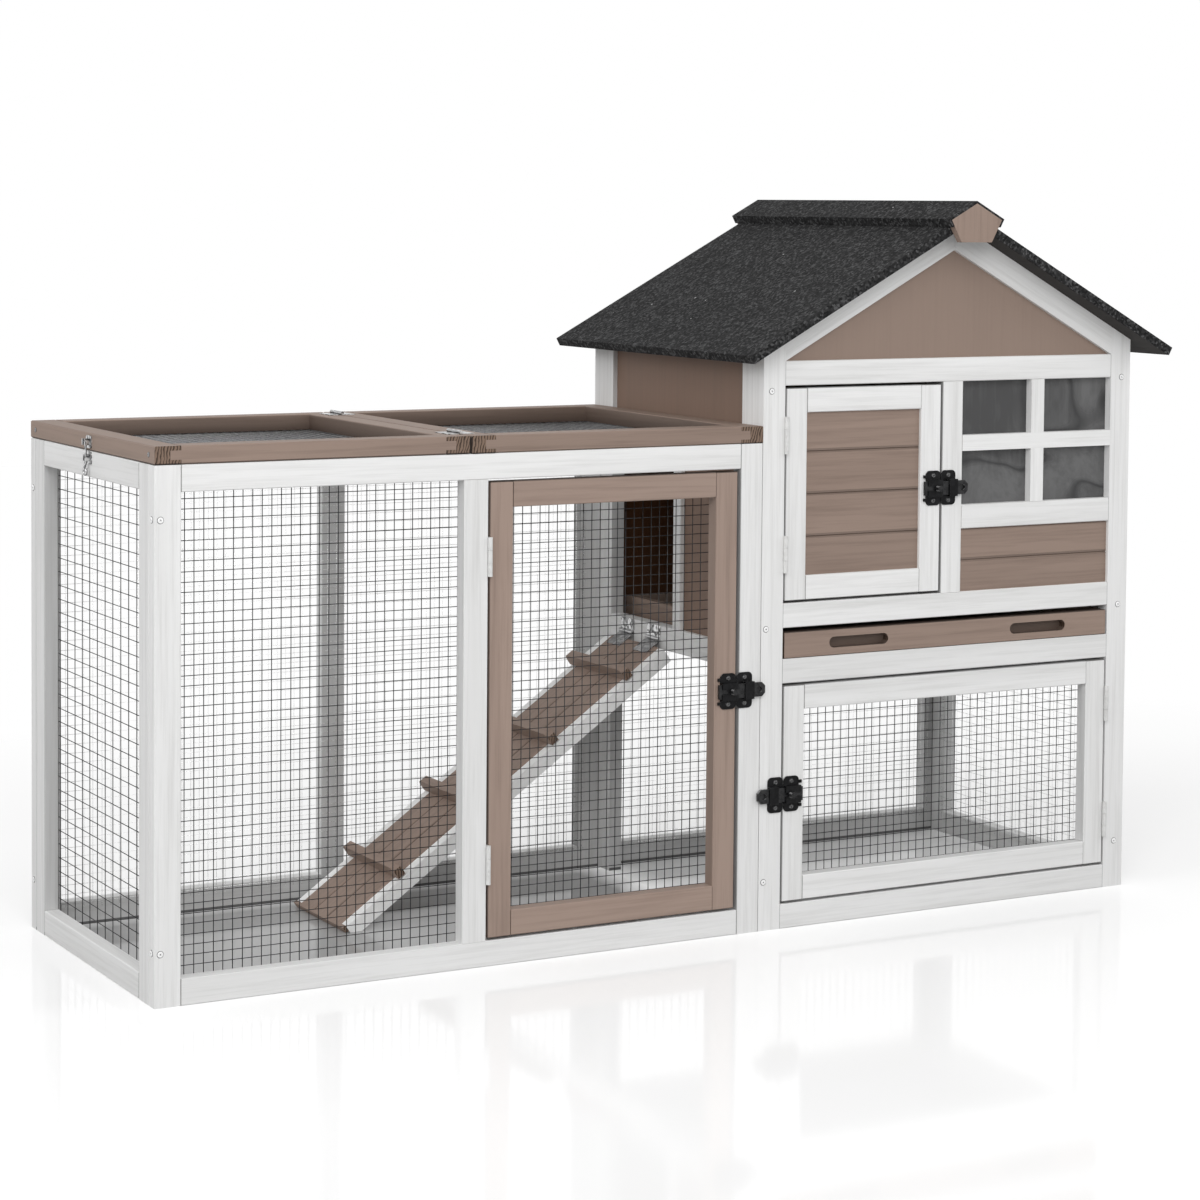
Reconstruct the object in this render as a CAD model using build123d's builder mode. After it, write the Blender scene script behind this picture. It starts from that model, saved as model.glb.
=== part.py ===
# Two-storey rabbit hutch with a wire run, in millimetres, +Z up, front towards -Y.
# The origin is on the ground, in the middle of the whole footprint.
import os
from math import cos, radians, sin, tan

from build123d import *

os.makedirs("parts", exist_ok=True)

# Timber sections
stile = 34.0  # face width of the uprights
rail = 33.0  # face width of the cross pieces
thick = 20.0  # thickness of every frame
edge_ease = 1.0  # small chamfer along the timber
ply = 6.0  # plywood panels
ply_recess = 7.0  # panels lie this far behind the frame's face
board_gap = 0.3  # room between two boards, or in a sawn mitre

# Overall sizes
run_length = 856.0
house_length = 616.0
depth = 466.0
run_height = 658.0
run_bay = 379.0  # clear width of the mesh bay beside the run door

# Heights in the house
lower_opening = 300.0
tray_slot = 42.0
upper_opening = 293.0
window_height = 172.0
sill_rise = 13.0  # the left wall's sill stands over the tray's rail
header_height = 249.0  # clear height of the doorway to the ramp
header_rail = 20.0
eave_rail = 20.0  # side wall's rail under the roof
doorway_width = 176.0
jamb = 20.0

# Wire nets, drawn with every seventh wire
net_pitch = 88.9
net_wire = 2.0
net_thick = 1.0
net_lap = 10.0  # the net reaches this far over its frame

# Lids
lid_height = 23.0
lid_member = 34.0
lid_joint = 2.0  # gap between the two lids
lid_clear = 0.5  # the moving lid's room over the run
lid_split = 422.0  # middle of the gap, from the run's left end
finger = 14.0  # length of the lids' corner fingers
net_rebate = 1.5
lid_ease = 1.4

# Doors
door_stile = 33.0
door_gap = 2.5  # hinge side: two leaves and their room
door_side_gap = 3.0  # latch side
run_door_side_gap = 5.0
door_end_gap = 3.5  # over and under a door
panel_groove = 5.0
panel_thick = 10.0
panel_recess = 5.0
lap_step = 5.0  # half-lap of the shiplap boards
upper_board_count = 4
window_board_count = 2

# Window
bar_width = 22.0
bar_thick = 12.0
pane_thick = 2.0

# Roof
roof_pitch = 28.5
rake_width = 34.0
roof_overhang = 36.0
roof_board = 9.0
felt = 3.0
ridge_board = 10.0
ridge_width = 42.0
block_thick = 11.0
block_drop = 53.0  # from its peak to its lower edge

# Tray
tray_clear = 0.5
tray_front_height = 35.0
tray_wall = 12.0
tray_floor_thick = 3.0
tray_floor_rise = 5.0
tray_groove = 4.0
tray_end_room = 12.0
grip_length = 96.0
grip_height = 15.0
grip_depth = 12.0
grip_inset = 120.0  # grip centre from the tray's end
runner_width = 32.0
runner_height = 20.0

# Ramp
ramp_angle = 35.0
ramp_width = 134.0  # the three boards
ramp_board = 9.0
ramp_board_count = 3
ramp_end_room = 12.0  # from the hinge pin to the boards' end
ramp_foot_clear = 0.4
batten_width = 16.0
batten_depth = 20.0
batten_drop = 2.0  # battens lie this far below the walking face
toe = 5.0  # thickness of the strip across the ramp's foot
cleat_count = 4
cleat_height = 18.0
cleat_thick = 12.0
cleat_first = 72.0
cleat_pitch = 142.0
groove_ease = 2.5

# Hinges: butt hinges on the doors, smaller ones on the lid and the ramp
barrel = 3.0
small_barrel = 2.3
pin = 1.4
small_pin = 1.1
pin_fit = 0.06
leaf = 1.0
leaf_room = 0.5
hinge_length = 50.0
small_hinge = 38.0
leaf_width = 16.0
knuckle_gap = 0.4
door_hinge_inset = 95.0
house_hinge_inset = 63.0
lid_hinge_inset = 48.0
ramp_hinge_spread = 76.0
ramp_leaf_end = 28.0

# Slide bolts
bolt_plate_width = 24.0
keeper_width = 24.0
bridge_width = 13.5
bolt_plate_height = 48.0
bolt_plate = 1.5
bolt_width = 19.0
bolt_thick = 4.0
bolt_fit = 0.3
track_wall = 2.0
bolt_past = 18.0  # how far the tip stands past the keeper
neck_radius = 2.8
knob_radius = 4.5
knob_height = 6.0
knob_shift = 4.0  # from the base's middle towards the keeper
dimple_radius = 4.5  # round hollow at the bolt's tip
dimple_depth = 2.6
tab = 4.0
base_edge = 0.5  # from the base's plate to the door's edge
keeper_edge = 0.7  # from the door's edge to the keeper
knob_taper = 6.0

# Hook on the left end
wire = 1.6
hook_pin = 2.0
lug = 2.5
hook_plate_width = 20.0
hook_plate_height = 16.0
hook_plate_thick = 1.2
hook_stand = 5.0  # pin axis from the end face
hook_drop = 24.0
hook_bend = 9.0
hook_curl = 4.0
hook_sway = 50.0  # degrees out and back
hook_turn = 230.0  # degrees round the curl
hook_reach = hook_stand + 2 * wire

# Screws
screw_radius = 4.0
screw_proud = 0.8
screw_edge = 15.0

# Where things lie
slope = radians(roof_pitch)
half = house_length / 2
eave_out = roof_overhang + (roof_board + felt) * sin(slope) + felt * cos(slope)
x_left = (hook_reach - run_length - house_length - eave_out) / 2
x_seam = x_left + run_length
x_right = x_seam + house_length
x_ridge = x_seam + half
y_front = -depth / 2
y_back = depth / 2
front_y = (y_front, y_front + thick)
back_y = (y_back - thick, y_back)
side_y = (front_y[1], back_y[0])
side_open_y = (side_y[0] + stile, side_y[1] - stile)
run_rail_z = ((0.0, rail), (run_height - rail, run_height))
tray_rail_z = (rail + lower_opening, 2 * rail + lower_opening)
over_rail_z = (tray_rail_z[1] + tray_slot, tray_rail_z[1] + tray_slot + rail)
top_rail_z = (over_rail_z[1] + upper_opening, over_rail_z[1] + upper_opening + rail)
rake_rise = rake_width / cos(slope)
ridge_under = top_rail_z[1] + rake_rise + (half - stile) * tan(slope)
felt_top = ridge_under + (roof_board + felt) / cos(slope)
lid_top = run_height + lid_height
lid_gap_x = x_left + lid_split


# Height of the roof's underside at a distance from the ridge
def roof_under(offset):
    return ridge_under - abs(offset) * tan(slope)


def span(start, length):
    return (start, start + length)


def middle(bounds):
    return (bounds[0] + bounds[1]) / 2


def size(bounds):
    return bounds[1] - bounds[0]


# A sawn piece of timber between two bounds each way, its long edges eased
def timber(x, y, z, ease=edge_ease):
    long_axis = max(((size(x), Axis.X), (size(y), Axis.Y), (size(z), Axis.Z)), key=lambda pair: pair[0])[1]
    with BuildPart() as piece:
        with BuildSketch(Plane.XY.offset(z[0])):
            with Locations((middle(x), middle(y))):
                Rectangle(size(x), size(y))
        extrude(amount=size(z))
        if ease:
            chamfer(piece.edges().filter_by(long_axis), ease)
    return piece.part


# A prism whose outline is drawn in the XZ plane
def frontal_prism(points, y):
    with BuildPart() as piece:
        with BuildSketch(Plane.XZ.offset(-y[1])):
            with BuildLine():
                Polyline(*points, close=True)
            make_face()
        extrude(amount=size(y))
    return piece.part


# A wire net centred on a plane: one face with a grid of gaps
def wire_net(plane, width, height):
    columns = max(1, round(width / net_pitch))
    rows = max(1, round(height / net_pitch))
    pitch_x = (width - net_wire) / columns
    pitch_y = (height - net_wire) / rows
    with BuildPart() as net:
        with BuildSketch(plane):
            Rectangle(width, height)
            with GridLocations(pitch_x, pitch_y, columns, rows):
                Rectangle(pitch_x - net_wire, pitch_y - net_wire, mode=Mode.SUBTRACT)
        extrude(amount=net_thick)
    return net.part


# Planes on which nets lie: behind a front, before a back, inside an end
def net_behind(x, y, z):
    return Plane(origin=(middle(x), y, middle(z)), x_dir=(1, 0, 0), z_dir=(0, 1, 0))


def net_before(x, y, z):
    return Plane(origin=(middle(x), y, middle(z)), x_dir=(1, 0, 0), z_dir=(0, -1, 0))


def net_across(x, y, z, inward):
    return Plane(origin=(x, middle(y), middle(z)), x_dir=(0, 1, 0), z_dir=(inward, 0, 0))


# Boards laid one over another, each lapping behind the next
def shiplap(x, z, y_face, count):
    exposure = size(z) / count
    boards = []
    for index in range(count):
        low = z[0] + index * exposure + (board_gap if index else 0.0)
        high = z[0] + (index + 1) * exposure
        back_high = high + (lap_step if index < count - 1 else 0.0)
        back_low = low + (lap_step if index else 0.0)
        half_thick = panel_thick / 2
        tongue = half_thick - board_gap
        with BuildPart() as board:
            with BuildSketch(Plane.YZ.offset(x[0])) as section:
                with Locations((y_face + half_thick / 2, middle((low, high)))):
                    Rectangle(half_thick, high - low)
                with Locations((y_face + half_thick * 3 / 2, middle((back_low, high)))):
                    Rectangle(half_thick, high - back_low)
                with Locations((y_face + panel_thick - tongue / 2, middle((back_low, back_high)))):
                    Rectangle(tongue, back_high - back_low)
                front_corners = section.vertices().sort_by(Axis.X)[:2]
                chamfer(front_corners.sort_by(Axis.Y)[-1], groove_ease)
            extrude(amount=size(x))
        boards.append(board.part)
    return boards


# One leaf of a hinge: its plane has z along the pin and x along the leaf
def hinge_leaf(plane, length, radius, plate_y, plate_start, plate_end, fixed):
    third = length / 6 + knuckle_gap / 2
    inner = length / 6 - knuckle_gap / 2
    knuckles = [(-length / 2, -third), (third, length / 2)] if fixed else [(-inner, inner)]
    pin_radius = pin if radius == barrel else small_pin
    bore = pin_radius if fixed else pin_radius + pin_fit
    with BuildPart() as piece:
        with BuildSketch(plane.offset(-length / 2)):
            with Locations(((plate_start + plate_end) / 2, middle(plate_y))):
                Rectangle(plate_end - plate_start, size(plate_y))
        extrude(amount=length)
        for low, high in knuckles:
            with BuildSketch(plane.offset(low)):
                Circle(radius)
                with Locations((plate_start / 2, middle(plate_y))):
                    Rectangle(plate_start, size(plate_y))
            extrude(amount=high - low)
        with BuildSketch(plane.offset(-length / 2)):
            Circle(bore)
        extrude(amount=length, mode=Mode.ADD if fixed else Mode.SUBTRACT)
    return piece.part


# Butt hinges of a door: the pin stands before the gap, both leaves lie in it
pin_out = barrel + leaf_room
hinge_near = leaf_room / 2
hinge_far = hinge_near + leaf


def door_leaves(x_pin, heights, fixed, hinge_side):
    towards_frame = 1 if fixed else -1
    side = towards_frame * hinge_side
    plate_y = (hinge_near, hinge_far) if side > 0 else (-hinge_far, -hinge_near)
    leaves = []
    for height in heights:
        plane = Plane(origin=(x_pin, y_front - pin_out, height), x_dir=(0, 1, 0), z_dir=(0, 0, 1))
        plate_end = pin_out + leaf_width
        leaves.append(hinge_leaf(plane, hinge_length, barrel, plate_y, pin_out, plate_end, fixed))
    return leaves


# Slide bolt: planes lie on the front face, x towards the keeper, z outwards
def bolt_plane(x_edge, height, throw):
    return Plane(origin=(x_edge, y_front, height), x_dir=(throw, 0, 0), z_dir=(0, -1, 0))


channel_width = bolt_width + 2 * bolt_fit
channel_depth = bolt_thick + 2 * bolt_fit
track_height = bolt_plate + channel_depth + track_wall
base_far = -base_edge
base_near = base_far - bolt_plate_width
keeper_near = keeper_edge
keeper_far = keeper_near + keeper_width
bolt_tip = keeper_far + bolt_past
knob_at = (base_near + base_far) / 2 + knob_shift


def mounting_plate(plane, near, far):
    with BuildPart() as plate:
        with BuildSketch(plane):
            with Locations(((near + far) / 2, 0)):
                RectangleRounded(far - near, bolt_plate_height, bolt_plate_width / 4)
        extrude(amount=bolt_plate)
    return plate.part


# A tunnel over the bolt; an open one leaves a slot for the knob's neck
def bolt_tunnel(plane, near, far, slot):
    outer = channel_width + 2 * track_wall
    with BuildPart() as tunnel:
        with BuildSketch(plane):
            with Locations(((near + far) / 2, 0)):
                Rectangle(far - near, outer)
        extrude(amount=track_height)
        with BuildSketch(plane.offset(bolt_plate)):
            with Locations(((near + far) / 2, 0)):
                Rectangle(far - near, channel_width)
        extrude(amount=channel_depth, mode=Mode.SUBTRACT)
        if slot:
            with BuildSketch(plane.offset(bolt_plate)):
                with Locations(((near + far) / 2, 0)):
                    Rectangle(far - near, 2 * (neck_radius + bolt_fit))
            extrude(amount=track_height - bolt_plate, mode=Mode.SUBTRACT)
    return tunnel.part


def bolt_base(x_edge, height, throw):
    plane = bolt_plane(x_edge, height, throw)
    tab_height = bolt_plate_height / 2 - bolt_plate_width / 4 - tab / 2
    with BuildPart() as base:
        add(mounting_plate(plane, base_near, base_far))
        add(bolt_tunnel(plane, base_near, base_far, True))
        with BuildSketch(plane):
            with Locations((base_near - tab / 2, tab_height), (base_near - tab / 2, -tab_height)):
                Rectangle(tab, tab)
        extrude(amount=bolt_plate * 2)
    return base.part


def bolt_keeper(x_edge, height, throw):
    plane = bolt_plane(x_edge, height, throw)
    with BuildPart() as keeper:
        add(mounting_plate(plane, keeper_near, keeper_far))
        add(bolt_tunnel(plane, keeper_far - bridge_width, keeper_far, False))
    return keeper.part


def bolt_bar(x_edge, height, throw):
    plane = bolt_plane(x_edge, height, throw).offset(bolt_plate + bolt_fit)
    start = base_near - tab
    with BuildPart() as bar:
        with BuildSketch(plane):
            with BuildLine():
                Polyline(
                    (start, -bolt_width / 2),
                    (bolt_tip - bolt_width / 4, -bolt_width / 2),
                    (bolt_tip, -bolt_width / 4),
                    (bolt_tip, bolt_width / 4),
                    (bolt_tip - bolt_width / 4, bolt_width / 2),
                    (start, bolt_width / 2),
                    close=True,
                )
            make_face()
        extrude(amount=bolt_thick)
        with BuildSketch(plane.offset(bolt_thick)):
            with Locations((bolt_tip - bolt_past / 2, 0)):
                Circle(dimple_radius)
        extrude(amount=-dimple_depth, mode=Mode.SUBTRACT)
        with BuildSketch(plane.offset(bolt_thick)):
            with Locations((knob_at, 0)):
                Circle(neck_radius)
        extrude(amount=track_wall + 2 * bolt_fit)
        with BuildSketch(plane.offset(bolt_thick + track_wall + 2 * bolt_fit)):
            with Locations((knob_at, 0)):
                Circle(knob_radius)
        extrude(amount=knob_height, taper=knob_taper)
    return bar.part


def keep(part, name):
    part.label = name
    export_step(part, f"parts/{name}.step")


def group(name, pieces):
    with BuildPart() as node:
        add(pieces)
    keep(node.part, name)


# Run frame: front and back panels share their uprights' places
left_stile_x = span(x_left, stile)
mid_stile_x = span(left_stile_x[1] + run_bay, stile)
right_stile_x = span(x_seam - stile, stile)
run_open_x = (left_stile_x[1], right_stile_x[0])
run_open_z = (run_rail_z[0][1], run_rail_z[1][0])
run_stiles = []
run_rails = []
for panel_y in (front_y, back_y):
    run_stiles.append(timber(left_stile_x, panel_y, (0.0, run_height)))
    run_stiles.append(timber(mid_stile_x, panel_y, run_open_z))
    run_stiles.append(timber(right_stile_x, panel_y, (0.0, run_height)))
    for rail_z in run_rail_z:
        run_rails.append(timber(run_open_x, panel_y, rail_z))
group("run_stiles", run_stiles)
group("run_rails", run_rails)

end_x = span(x_left, thick)
end_stile_spans = (span(side_y[0], stile), span(side_open_y[1], stile))
group("run_end_stiles", [timber(end_x, stile_y, (0.0, run_height)) for stile_y in end_stile_spans])
group("run_end_rails", [timber(end_x, side_open_y, rail_z) for rail_z in run_rail_z])


# The part of an opening that a net covers, with its lap
def lapped(bounds):
    return (bounds[0] - net_lap, bounds[1] + net_lap)


bay_x = lapped((left_stile_x[1], mid_stile_x[0]))
net_z = lapped(run_open_z)
back_net_x = lapped(run_open_x)
end_net_y = lapped(side_open_y)
group("run_front_mesh", [wire_net(net_behind(bay_x, front_y[1], net_z), size(bay_x), size(net_z))])

# House front and back panels
house_left_x = span(x_seam, stile)
house_right_x = span(x_right - stile, stile)
centre_x = span(x_ridge - stile / 2, stile)
house_open_x = (house_left_x[1], house_right_x[0])
window_x = (centre_x[1], house_right_x[0])
window_z = (top_rail_z[0] - window_height, top_rail_z[0])
window_rail_z = (window_z[0] - rail, window_z[0])
house_stiles = [timber(centre_x, front_y, (over_rail_z[1], top_rail_z[0]))]
house_rails = [timber(window_x, front_y, window_rail_z)]
for panel_y in (front_y, back_y):
    for outer_x, inner_x in ((x_seam, house_left_x[1]), (x_right, house_right_x[0])):
        outline = (
            (outer_x, 0.0),
            (inner_x, 0.0),
            (inner_x, roof_under(inner_x - x_ridge)),
            (outer_x, roof_under(outer_x - x_ridge)),
        )
        house_stiles.append(frontal_prism(outline, panel_y))
    for rail_z in ((0.0, rail), tray_rail_z, top_rail_z):
        house_rails.append(timber(house_open_x, panel_y, rail_z))
house_rails.append(timber(house_open_x, front_y, over_rail_z))
group("house_stiles", house_stiles)
group("house_rails", house_rails)

# Gables: plywood triangle under two raking boards that meet in a mitre
gable_panels = []
rake_boards = []
gable_half = half - stile
for panel_y, face in ((front_y, y_front + ply_recess), (back_y, y_back - ply_recess - ply)):
    triangle = (
        (x_ridge - gable_half, top_rail_z[1]),
        (x_ridge + gable_half, top_rail_z[1]),
        (x_ridge, ridge_under - rake_rise),
    )
    gable_panels.append(frontal_prism(triangle, span(face, ply)))
    for hand in (-1, 1):
        mitre = hand * board_gap / 2
        outline = (
            (x_ridge + hand * gable_half, top_rail_z[1]),
            (x_ridge + hand * gable_half, roof_under(gable_half)),
            (x_ridge + mitre, roof_under(mitre)),
            (x_ridge + mitre, roof_under(mitre) - rake_rise),
        )
        rake_boards.append(frontal_prism(outline, panel_y))
group("gable_panels", gable_panels)
group("rake_boards", rake_boards)

# Window, with its mullion and crossbar halved together, and the boards under it
bar_y = span(y_front, bar_thick)
bar_half_y = y_front + bar_thick / 2
mullion_x = span(middle(window_x) - bar_width / 2, bar_width)
crossbar_z = span(middle(window_z) - bar_width / 2, bar_width)
with BuildPart() as mullion:
    add(timber(mullion_x, bar_y, window_z, 0))
    add(timber(mullion_x, (y_front, bar_half_y + board_gap), crossbar_z, 0), mode=Mode.SUBTRACT)
with BuildPart() as crossbar:
    add(timber(window_x, bar_y, crossbar_z, 0))
    add(timber(mullion_x, (bar_half_y, bar_y[1]), crossbar_z, 0), mode=Mode.SUBTRACT)
group("window_mullion", [mullion.part])
group("window_crossbar", [crossbar.part])
group("window_pane", [timber(window_x, span(bar_y[1], pane_thick), window_z, 0)])
under_window_z = (over_rail_z[1], window_rail_z[0])
group("window_boards", shiplap(window_x, under_window_z, y_front + panel_recess, window_board_count))

# House side walls
left_x = span(x_seam, thick)
right_x = span(x_right - thick, thick)
doorway_y = (side_open_y[1] - doorway_width, side_open_y[1])
jamb_y = (doorway_y[0] - jamb, doorway_y[0])
sill_z = (tray_rail_z[0] + sill_rise, tray_rail_z[1] + sill_rise)
header_z = span(sill_z[1] + header_height, header_rail)
side_top_low = roof_under(half) - eave_rail + thick * tan(slope) / 2


# A side wall piece whose top follows the roof's underside
def under_roof(x, y, low):
    outline = (
        (x[0], low),
        (x[1], low),
        (x[1], roof_under(x[1] - x_ridge)),
        (x[0], roof_under(x[0] - x_ridge)),
    )
    return frontal_prism(outline, y)


side_stiles = [timber(left_x, jamb_y, (sill_z[1], header_z[0]))]
side_rails = [timber(left_x, side_open_y, sill_z), timber(left_x, (jamb_y[0], doorway_y[1]), header_z)]
for rail_z in ((0.0, rail), tray_rail_z):
    side_rails.append(timber(right_x, side_open_y, rail_z))
for wall_x in (left_x, right_x):
    for stile_y in end_stile_spans:
        side_stiles.append(under_roof(wall_x, stile_y, 0.0))
    side_rails.append(under_roof(wall_x, side_open_y, side_top_low))
group("house_side_stiles", side_stiles)
group("house_side_rails", side_rails)

runner_z = (tray_rail_z[1] - runner_height, tray_rail_z[1])
left_runner_x = span(left_x[1], runner_width)
right_runner_x = span(right_x[0] - runner_width, runner_width)
group("tray_runners", [timber(x, side_y, runner_z) for x in (left_runner_x, right_runner_x)])

# Plywood; the left wall's sheet goes round the doorway
left_ply_x = span(x_seam + ply_recess, ply)
right_ply_x = span(x_right - ply_recess - ply, ply)
back_ply_y = span(y_back - ply_recess - ply, ply)
upper_z = (tray_rail_z[1], side_top_low)
with BuildPart() as left_ply:
    with BuildSketch(Plane.YZ.offset(left_ply_x[0])):
        with BuildLine():
            Polyline(
                (side_open_y[0], sill_z[1]),
                (jamb_y[0], sill_z[1]),
                (jamb_y[0], header_z[1]),
                (side_open_y[1], header_z[1]),
                (side_open_y[1], upper_z[1]),
                (side_open_y[0], upper_z[1]),
                close=True,
            )
        make_face()
    extrude(amount=ply)
wall_panels = [
    left_ply.part,
    timber(right_ply_x, side_open_y, upper_z, 0),
    timber(house_open_x, back_ply_y, (tray_rail_z[1], top_rail_z[0]), 0),
]
group("wall_panels", wall_panels)

# Nets of the run's end and back and of the house's lower storey
low_z = lapped((rail, tray_rail_z[0]))
house_net_x = lapped(house_open_x)
wall_nets = [
    wire_net(net_across(end_x[1], end_net_y, net_z, 1), size(end_net_y), size(net_z)),
    wire_net(net_before(back_net_x, back_y[0], net_z), size(back_net_x), size(net_z)),
    wire_net(net_across(right_x[0], end_net_y, low_z, -1), size(end_net_y), size(low_z)),
    wire_net(net_before(house_net_x, back_y[0], low_z), size(house_net_x), size(low_z)),
]
group("wall_mesh", wall_nets)

# Roof, drawn as sections across the ridge
across = (cos(slope), -sin(slope))  # down the right-hand slope
upward = (sin(slope), cos(slope))  # square to it


def moved(point, along=0.0, up=0.0):
    return (
        point[0] + along * across[0] + up * upward[0],
        point[1] + along * across[1] + up * upward[1],
    )


def on_side(points, hand):
    return [(x_ridge + hand * x, z) for x, z in points]


# A layer on one slope between two depths over the underside, from a mitre at the ridge
def slope_section(low, high, along, edge):
    mitre = board_gap / 2
    foot = moved((0.0, ridge_under + low / cos(slope)), along)
    return [
        (mitre, ridge_under + low / cos(slope) - mitre * tan(slope)),
        moved(foot, edge),
        moved(foot, edge, high - low),
        (mitre, ridge_under + high / cos(slope) - mitre * tan(slope)),
    ]


roof_length = (half + roof_overhang) / cos(slope)
board_y = (y_front - roof_overhang, y_back + roof_overhang)
felt_y = (board_y[0] - felt, board_y[1] + felt)
block_y = (felt_y[0] - block_thick, felt_y[1] + block_thick)
ridge_low = roof_board + felt
roof_boards = []
felts = []
for hand in (-1, 1):
    board_outline = on_side(slope_section(0.0, roof_board, roof_length, 0.0), hand)
    sheet_outline = on_side(slope_section(0.0, ridge_low, roof_length, felt), hand)
    ridge_outline = on_side(slope_section(ridge_low, ridge_low + ridge_board, ridge_width, 0.0), hand)
    deck = frontal_prism(board_outline, board_y)
    roof_boards.append(deck)
    roof_boards.append(frontal_prism(ridge_outline, felt_y))
    with BuildPart() as sheet:
        add(frontal_prism(sheet_outline, felt_y))
        add(deck, mode=Mode.SUBTRACT)
    felts.append(sheet.part)

cap_under = felt_top
cap_foot = moved((0.0, cap_under), ridge_width)
cap_shoulder = moved(cap_foot, 0.0, ridge_board)
cap_peak = (0.0, cap_under + ridge_board / cos(slope))
cap_right = [
    (0.0, cap_peak[1] + felt / cos(slope)),
    moved(cap_shoulder, felt, felt),
    moved(cap_foot, felt, board_gap),
    moved(cap_foot, 0.0, board_gap),
    cap_shoulder,
]
cap_outline = on_side(cap_right, 1) + on_side([cap_peak], 1) + on_side(cap_right[:0:-1], -1)
felts.append(frontal_prism(cap_outline, block_y))
group("roof_boards", roof_boards)
group("roof_felt", felts)

block_low = cap_peak[1] - block_drop
block_foot = cap_shoulder[0] - (cap_shoulder[1] - block_low) * tan(slope)
block_right = [cap_shoulder, (block_foot, block_low)]
block_outline = on_side([cap_peak] + block_right, 1) + on_side(block_right[::-1], -1)
block_spans = ((block_y[0], felt_y[0]), (felt_y[1], block_y[1]))
group("ridge_blocks", [frontal_prism(block_outline, block_span) for block_span in block_spans])


# A lid frame: side members with slots at their ends, cross members with tongues in them
def lid_pieces(x, z):
    inner_x = (x[0] + lid_member, x[1] - lid_member)
    inner_y = (y_front + lid_member, y_back - lid_member)
    tongue_z = (z[0] + size(z) / 4, z[1] - size(z) / 4)
    rebate_z = span(z[0], net_rebate)
    rebate = timber(lapped(inner_x), lapped(inner_y), rebate_z, 0)
    tongues = []
    for cross_y in ((y_front, inner_y[0]), (inner_y[1], y_back)):
        tongues.append(timber((inner_x[0] - finger, inner_x[1] + finger), cross_y, tongue_z, 0))
    sides = []
    for side_x in ((x[0], inner_x[0]), (inner_x[1], x[1])):
        with BuildPart() as side:
            add(timber(side_x, (y_front, y_back), z, lid_ease))
            add(tongues + [rebate], mode=Mode.SUBTRACT)
        sides.append(side.part)
    crosses = []
    for cross_y, tongue in zip(((y_front, inner_y[0]), (inner_y[1], y_back)), tongues):
        with BuildPart() as cross:
            add(timber(inner_x, cross_y, z, lid_ease))
            add(tongue)
            add(rebate, mode=Mode.SUBTRACT)
        crosses.append(cross.part)
    net_x = lapped(inner_x)
    net_y = lapped(inner_y)
    plane = Plane(origin=(middle(net_x), middle(net_y), rebate_z[1]), x_dir=(1, 0, 0), z_dir=(0, 0, -1))
    return sides, crosses, wire_net(plane, size(net_x), size(net_y))


lid_x = (x_left, lid_gap_x - lid_joint / 2)
fixed_lid_x = (lid_gap_x + lid_joint / 2, x_seam)
lid_sides, lid_crosses, lid_net = lid_pieces(lid_x, (run_height + lid_clear, lid_top))
fixed_sides, fixed_crosses, fixed_net = lid_pieces(fixed_lid_x, (run_height, lid_top))
group("lid_sides", lid_sides)
group("lid_rails", lid_crosses)
group("lid_mesh", [lid_net])
group("fixed_lid_sides", fixed_sides)
group("fixed_lid_rails", fixed_crosses)
group("fixed_lid_mesh", [fixed_net])

# Zinc hinges of the lid, on top of the gap, and of the ramp, on the sill
small_out = small_barrel + leaf_room
lid_plate_y = (-small_out, leaf - small_out)
ramp_plate_y = (small_out - leaf, small_out)
small_end = small_out + leaf_width


def small_leaf(plane, plate_y, end, fixed):
    return hinge_leaf(plane, small_hinge, small_barrel, plate_y, small_out, end, fixed)


lid_fixed_leaves = []
lid_leaves = []
for hinge_y in (y_front + lid_hinge_inset, y_back - lid_hinge_inset):
    origin = (lid_gap_x, hinge_y, lid_top + small_out)
    right_plane = Plane(origin=origin, x_dir=(1, 0, 0), z_dir=(0, -1, 0))
    left_plane = Plane(origin=origin, x_dir=(-1, 0, 0), z_dir=(0, 1, 0))
    lid_fixed_leaves.append(small_leaf(right_plane, lid_plate_y, small_end, True))
    lid_leaves.append(small_leaf(left_plane, lid_plate_y, small_end, False))

ramp_tilt = radians(ramp_angle)
ramp_pin = (x_seam - small_out, sill_z[1] - small_end)
ramp_y = middle(doorway_y)
ramp_down = (-cos(ramp_tilt), 0, -sin(ramp_tilt))
ramp_normal = (-sin(ramp_tilt), 0, cos(ramp_tilt))
ramp_fixed_leaves = []
ramp_leaves = []
for hinge_y in (ramp_y - ramp_hinge_spread / 2, ramp_y + ramp_hinge_spread / 2):
    origin = (ramp_pin[0], hinge_y, ramp_pin[1])
    wall_plane = Plane(origin=origin, x_dir=(0, 0, 1), z_dir=(0, 1, 0))
    ramp_plane = Plane(origin=origin, x_dir=ramp_down, z_dir=(0, -1, 0))
    ramp_fixed_leaves.append(small_leaf(wall_plane, ramp_plate_y, small_end, True))
    ramp_leaves.append(small_leaf(ramp_plane, ramp_plate_y, ramp_leaf_end, False))
group("ramp_hinge_leaves", ramp_leaves)

# Ramp: sections are drawn square to its length, x across and y downwards from the pin
ramp_top = small_out
ramp_run = (ramp_pin[1] - ramp_foot_clear - (ramp_top + ramp_board) * cos(ramp_tilt)) / sin(ramp_tilt)


def ramp_section(along):
    origin = (
        ramp_pin[0] + along * ramp_down[0],
        ramp_y,
        ramp_pin[1] + along * ramp_down[2],
    )
    return Plane(origin=origin, x_dir=(0, 1, 0), z_dir=ramp_down)


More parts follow.
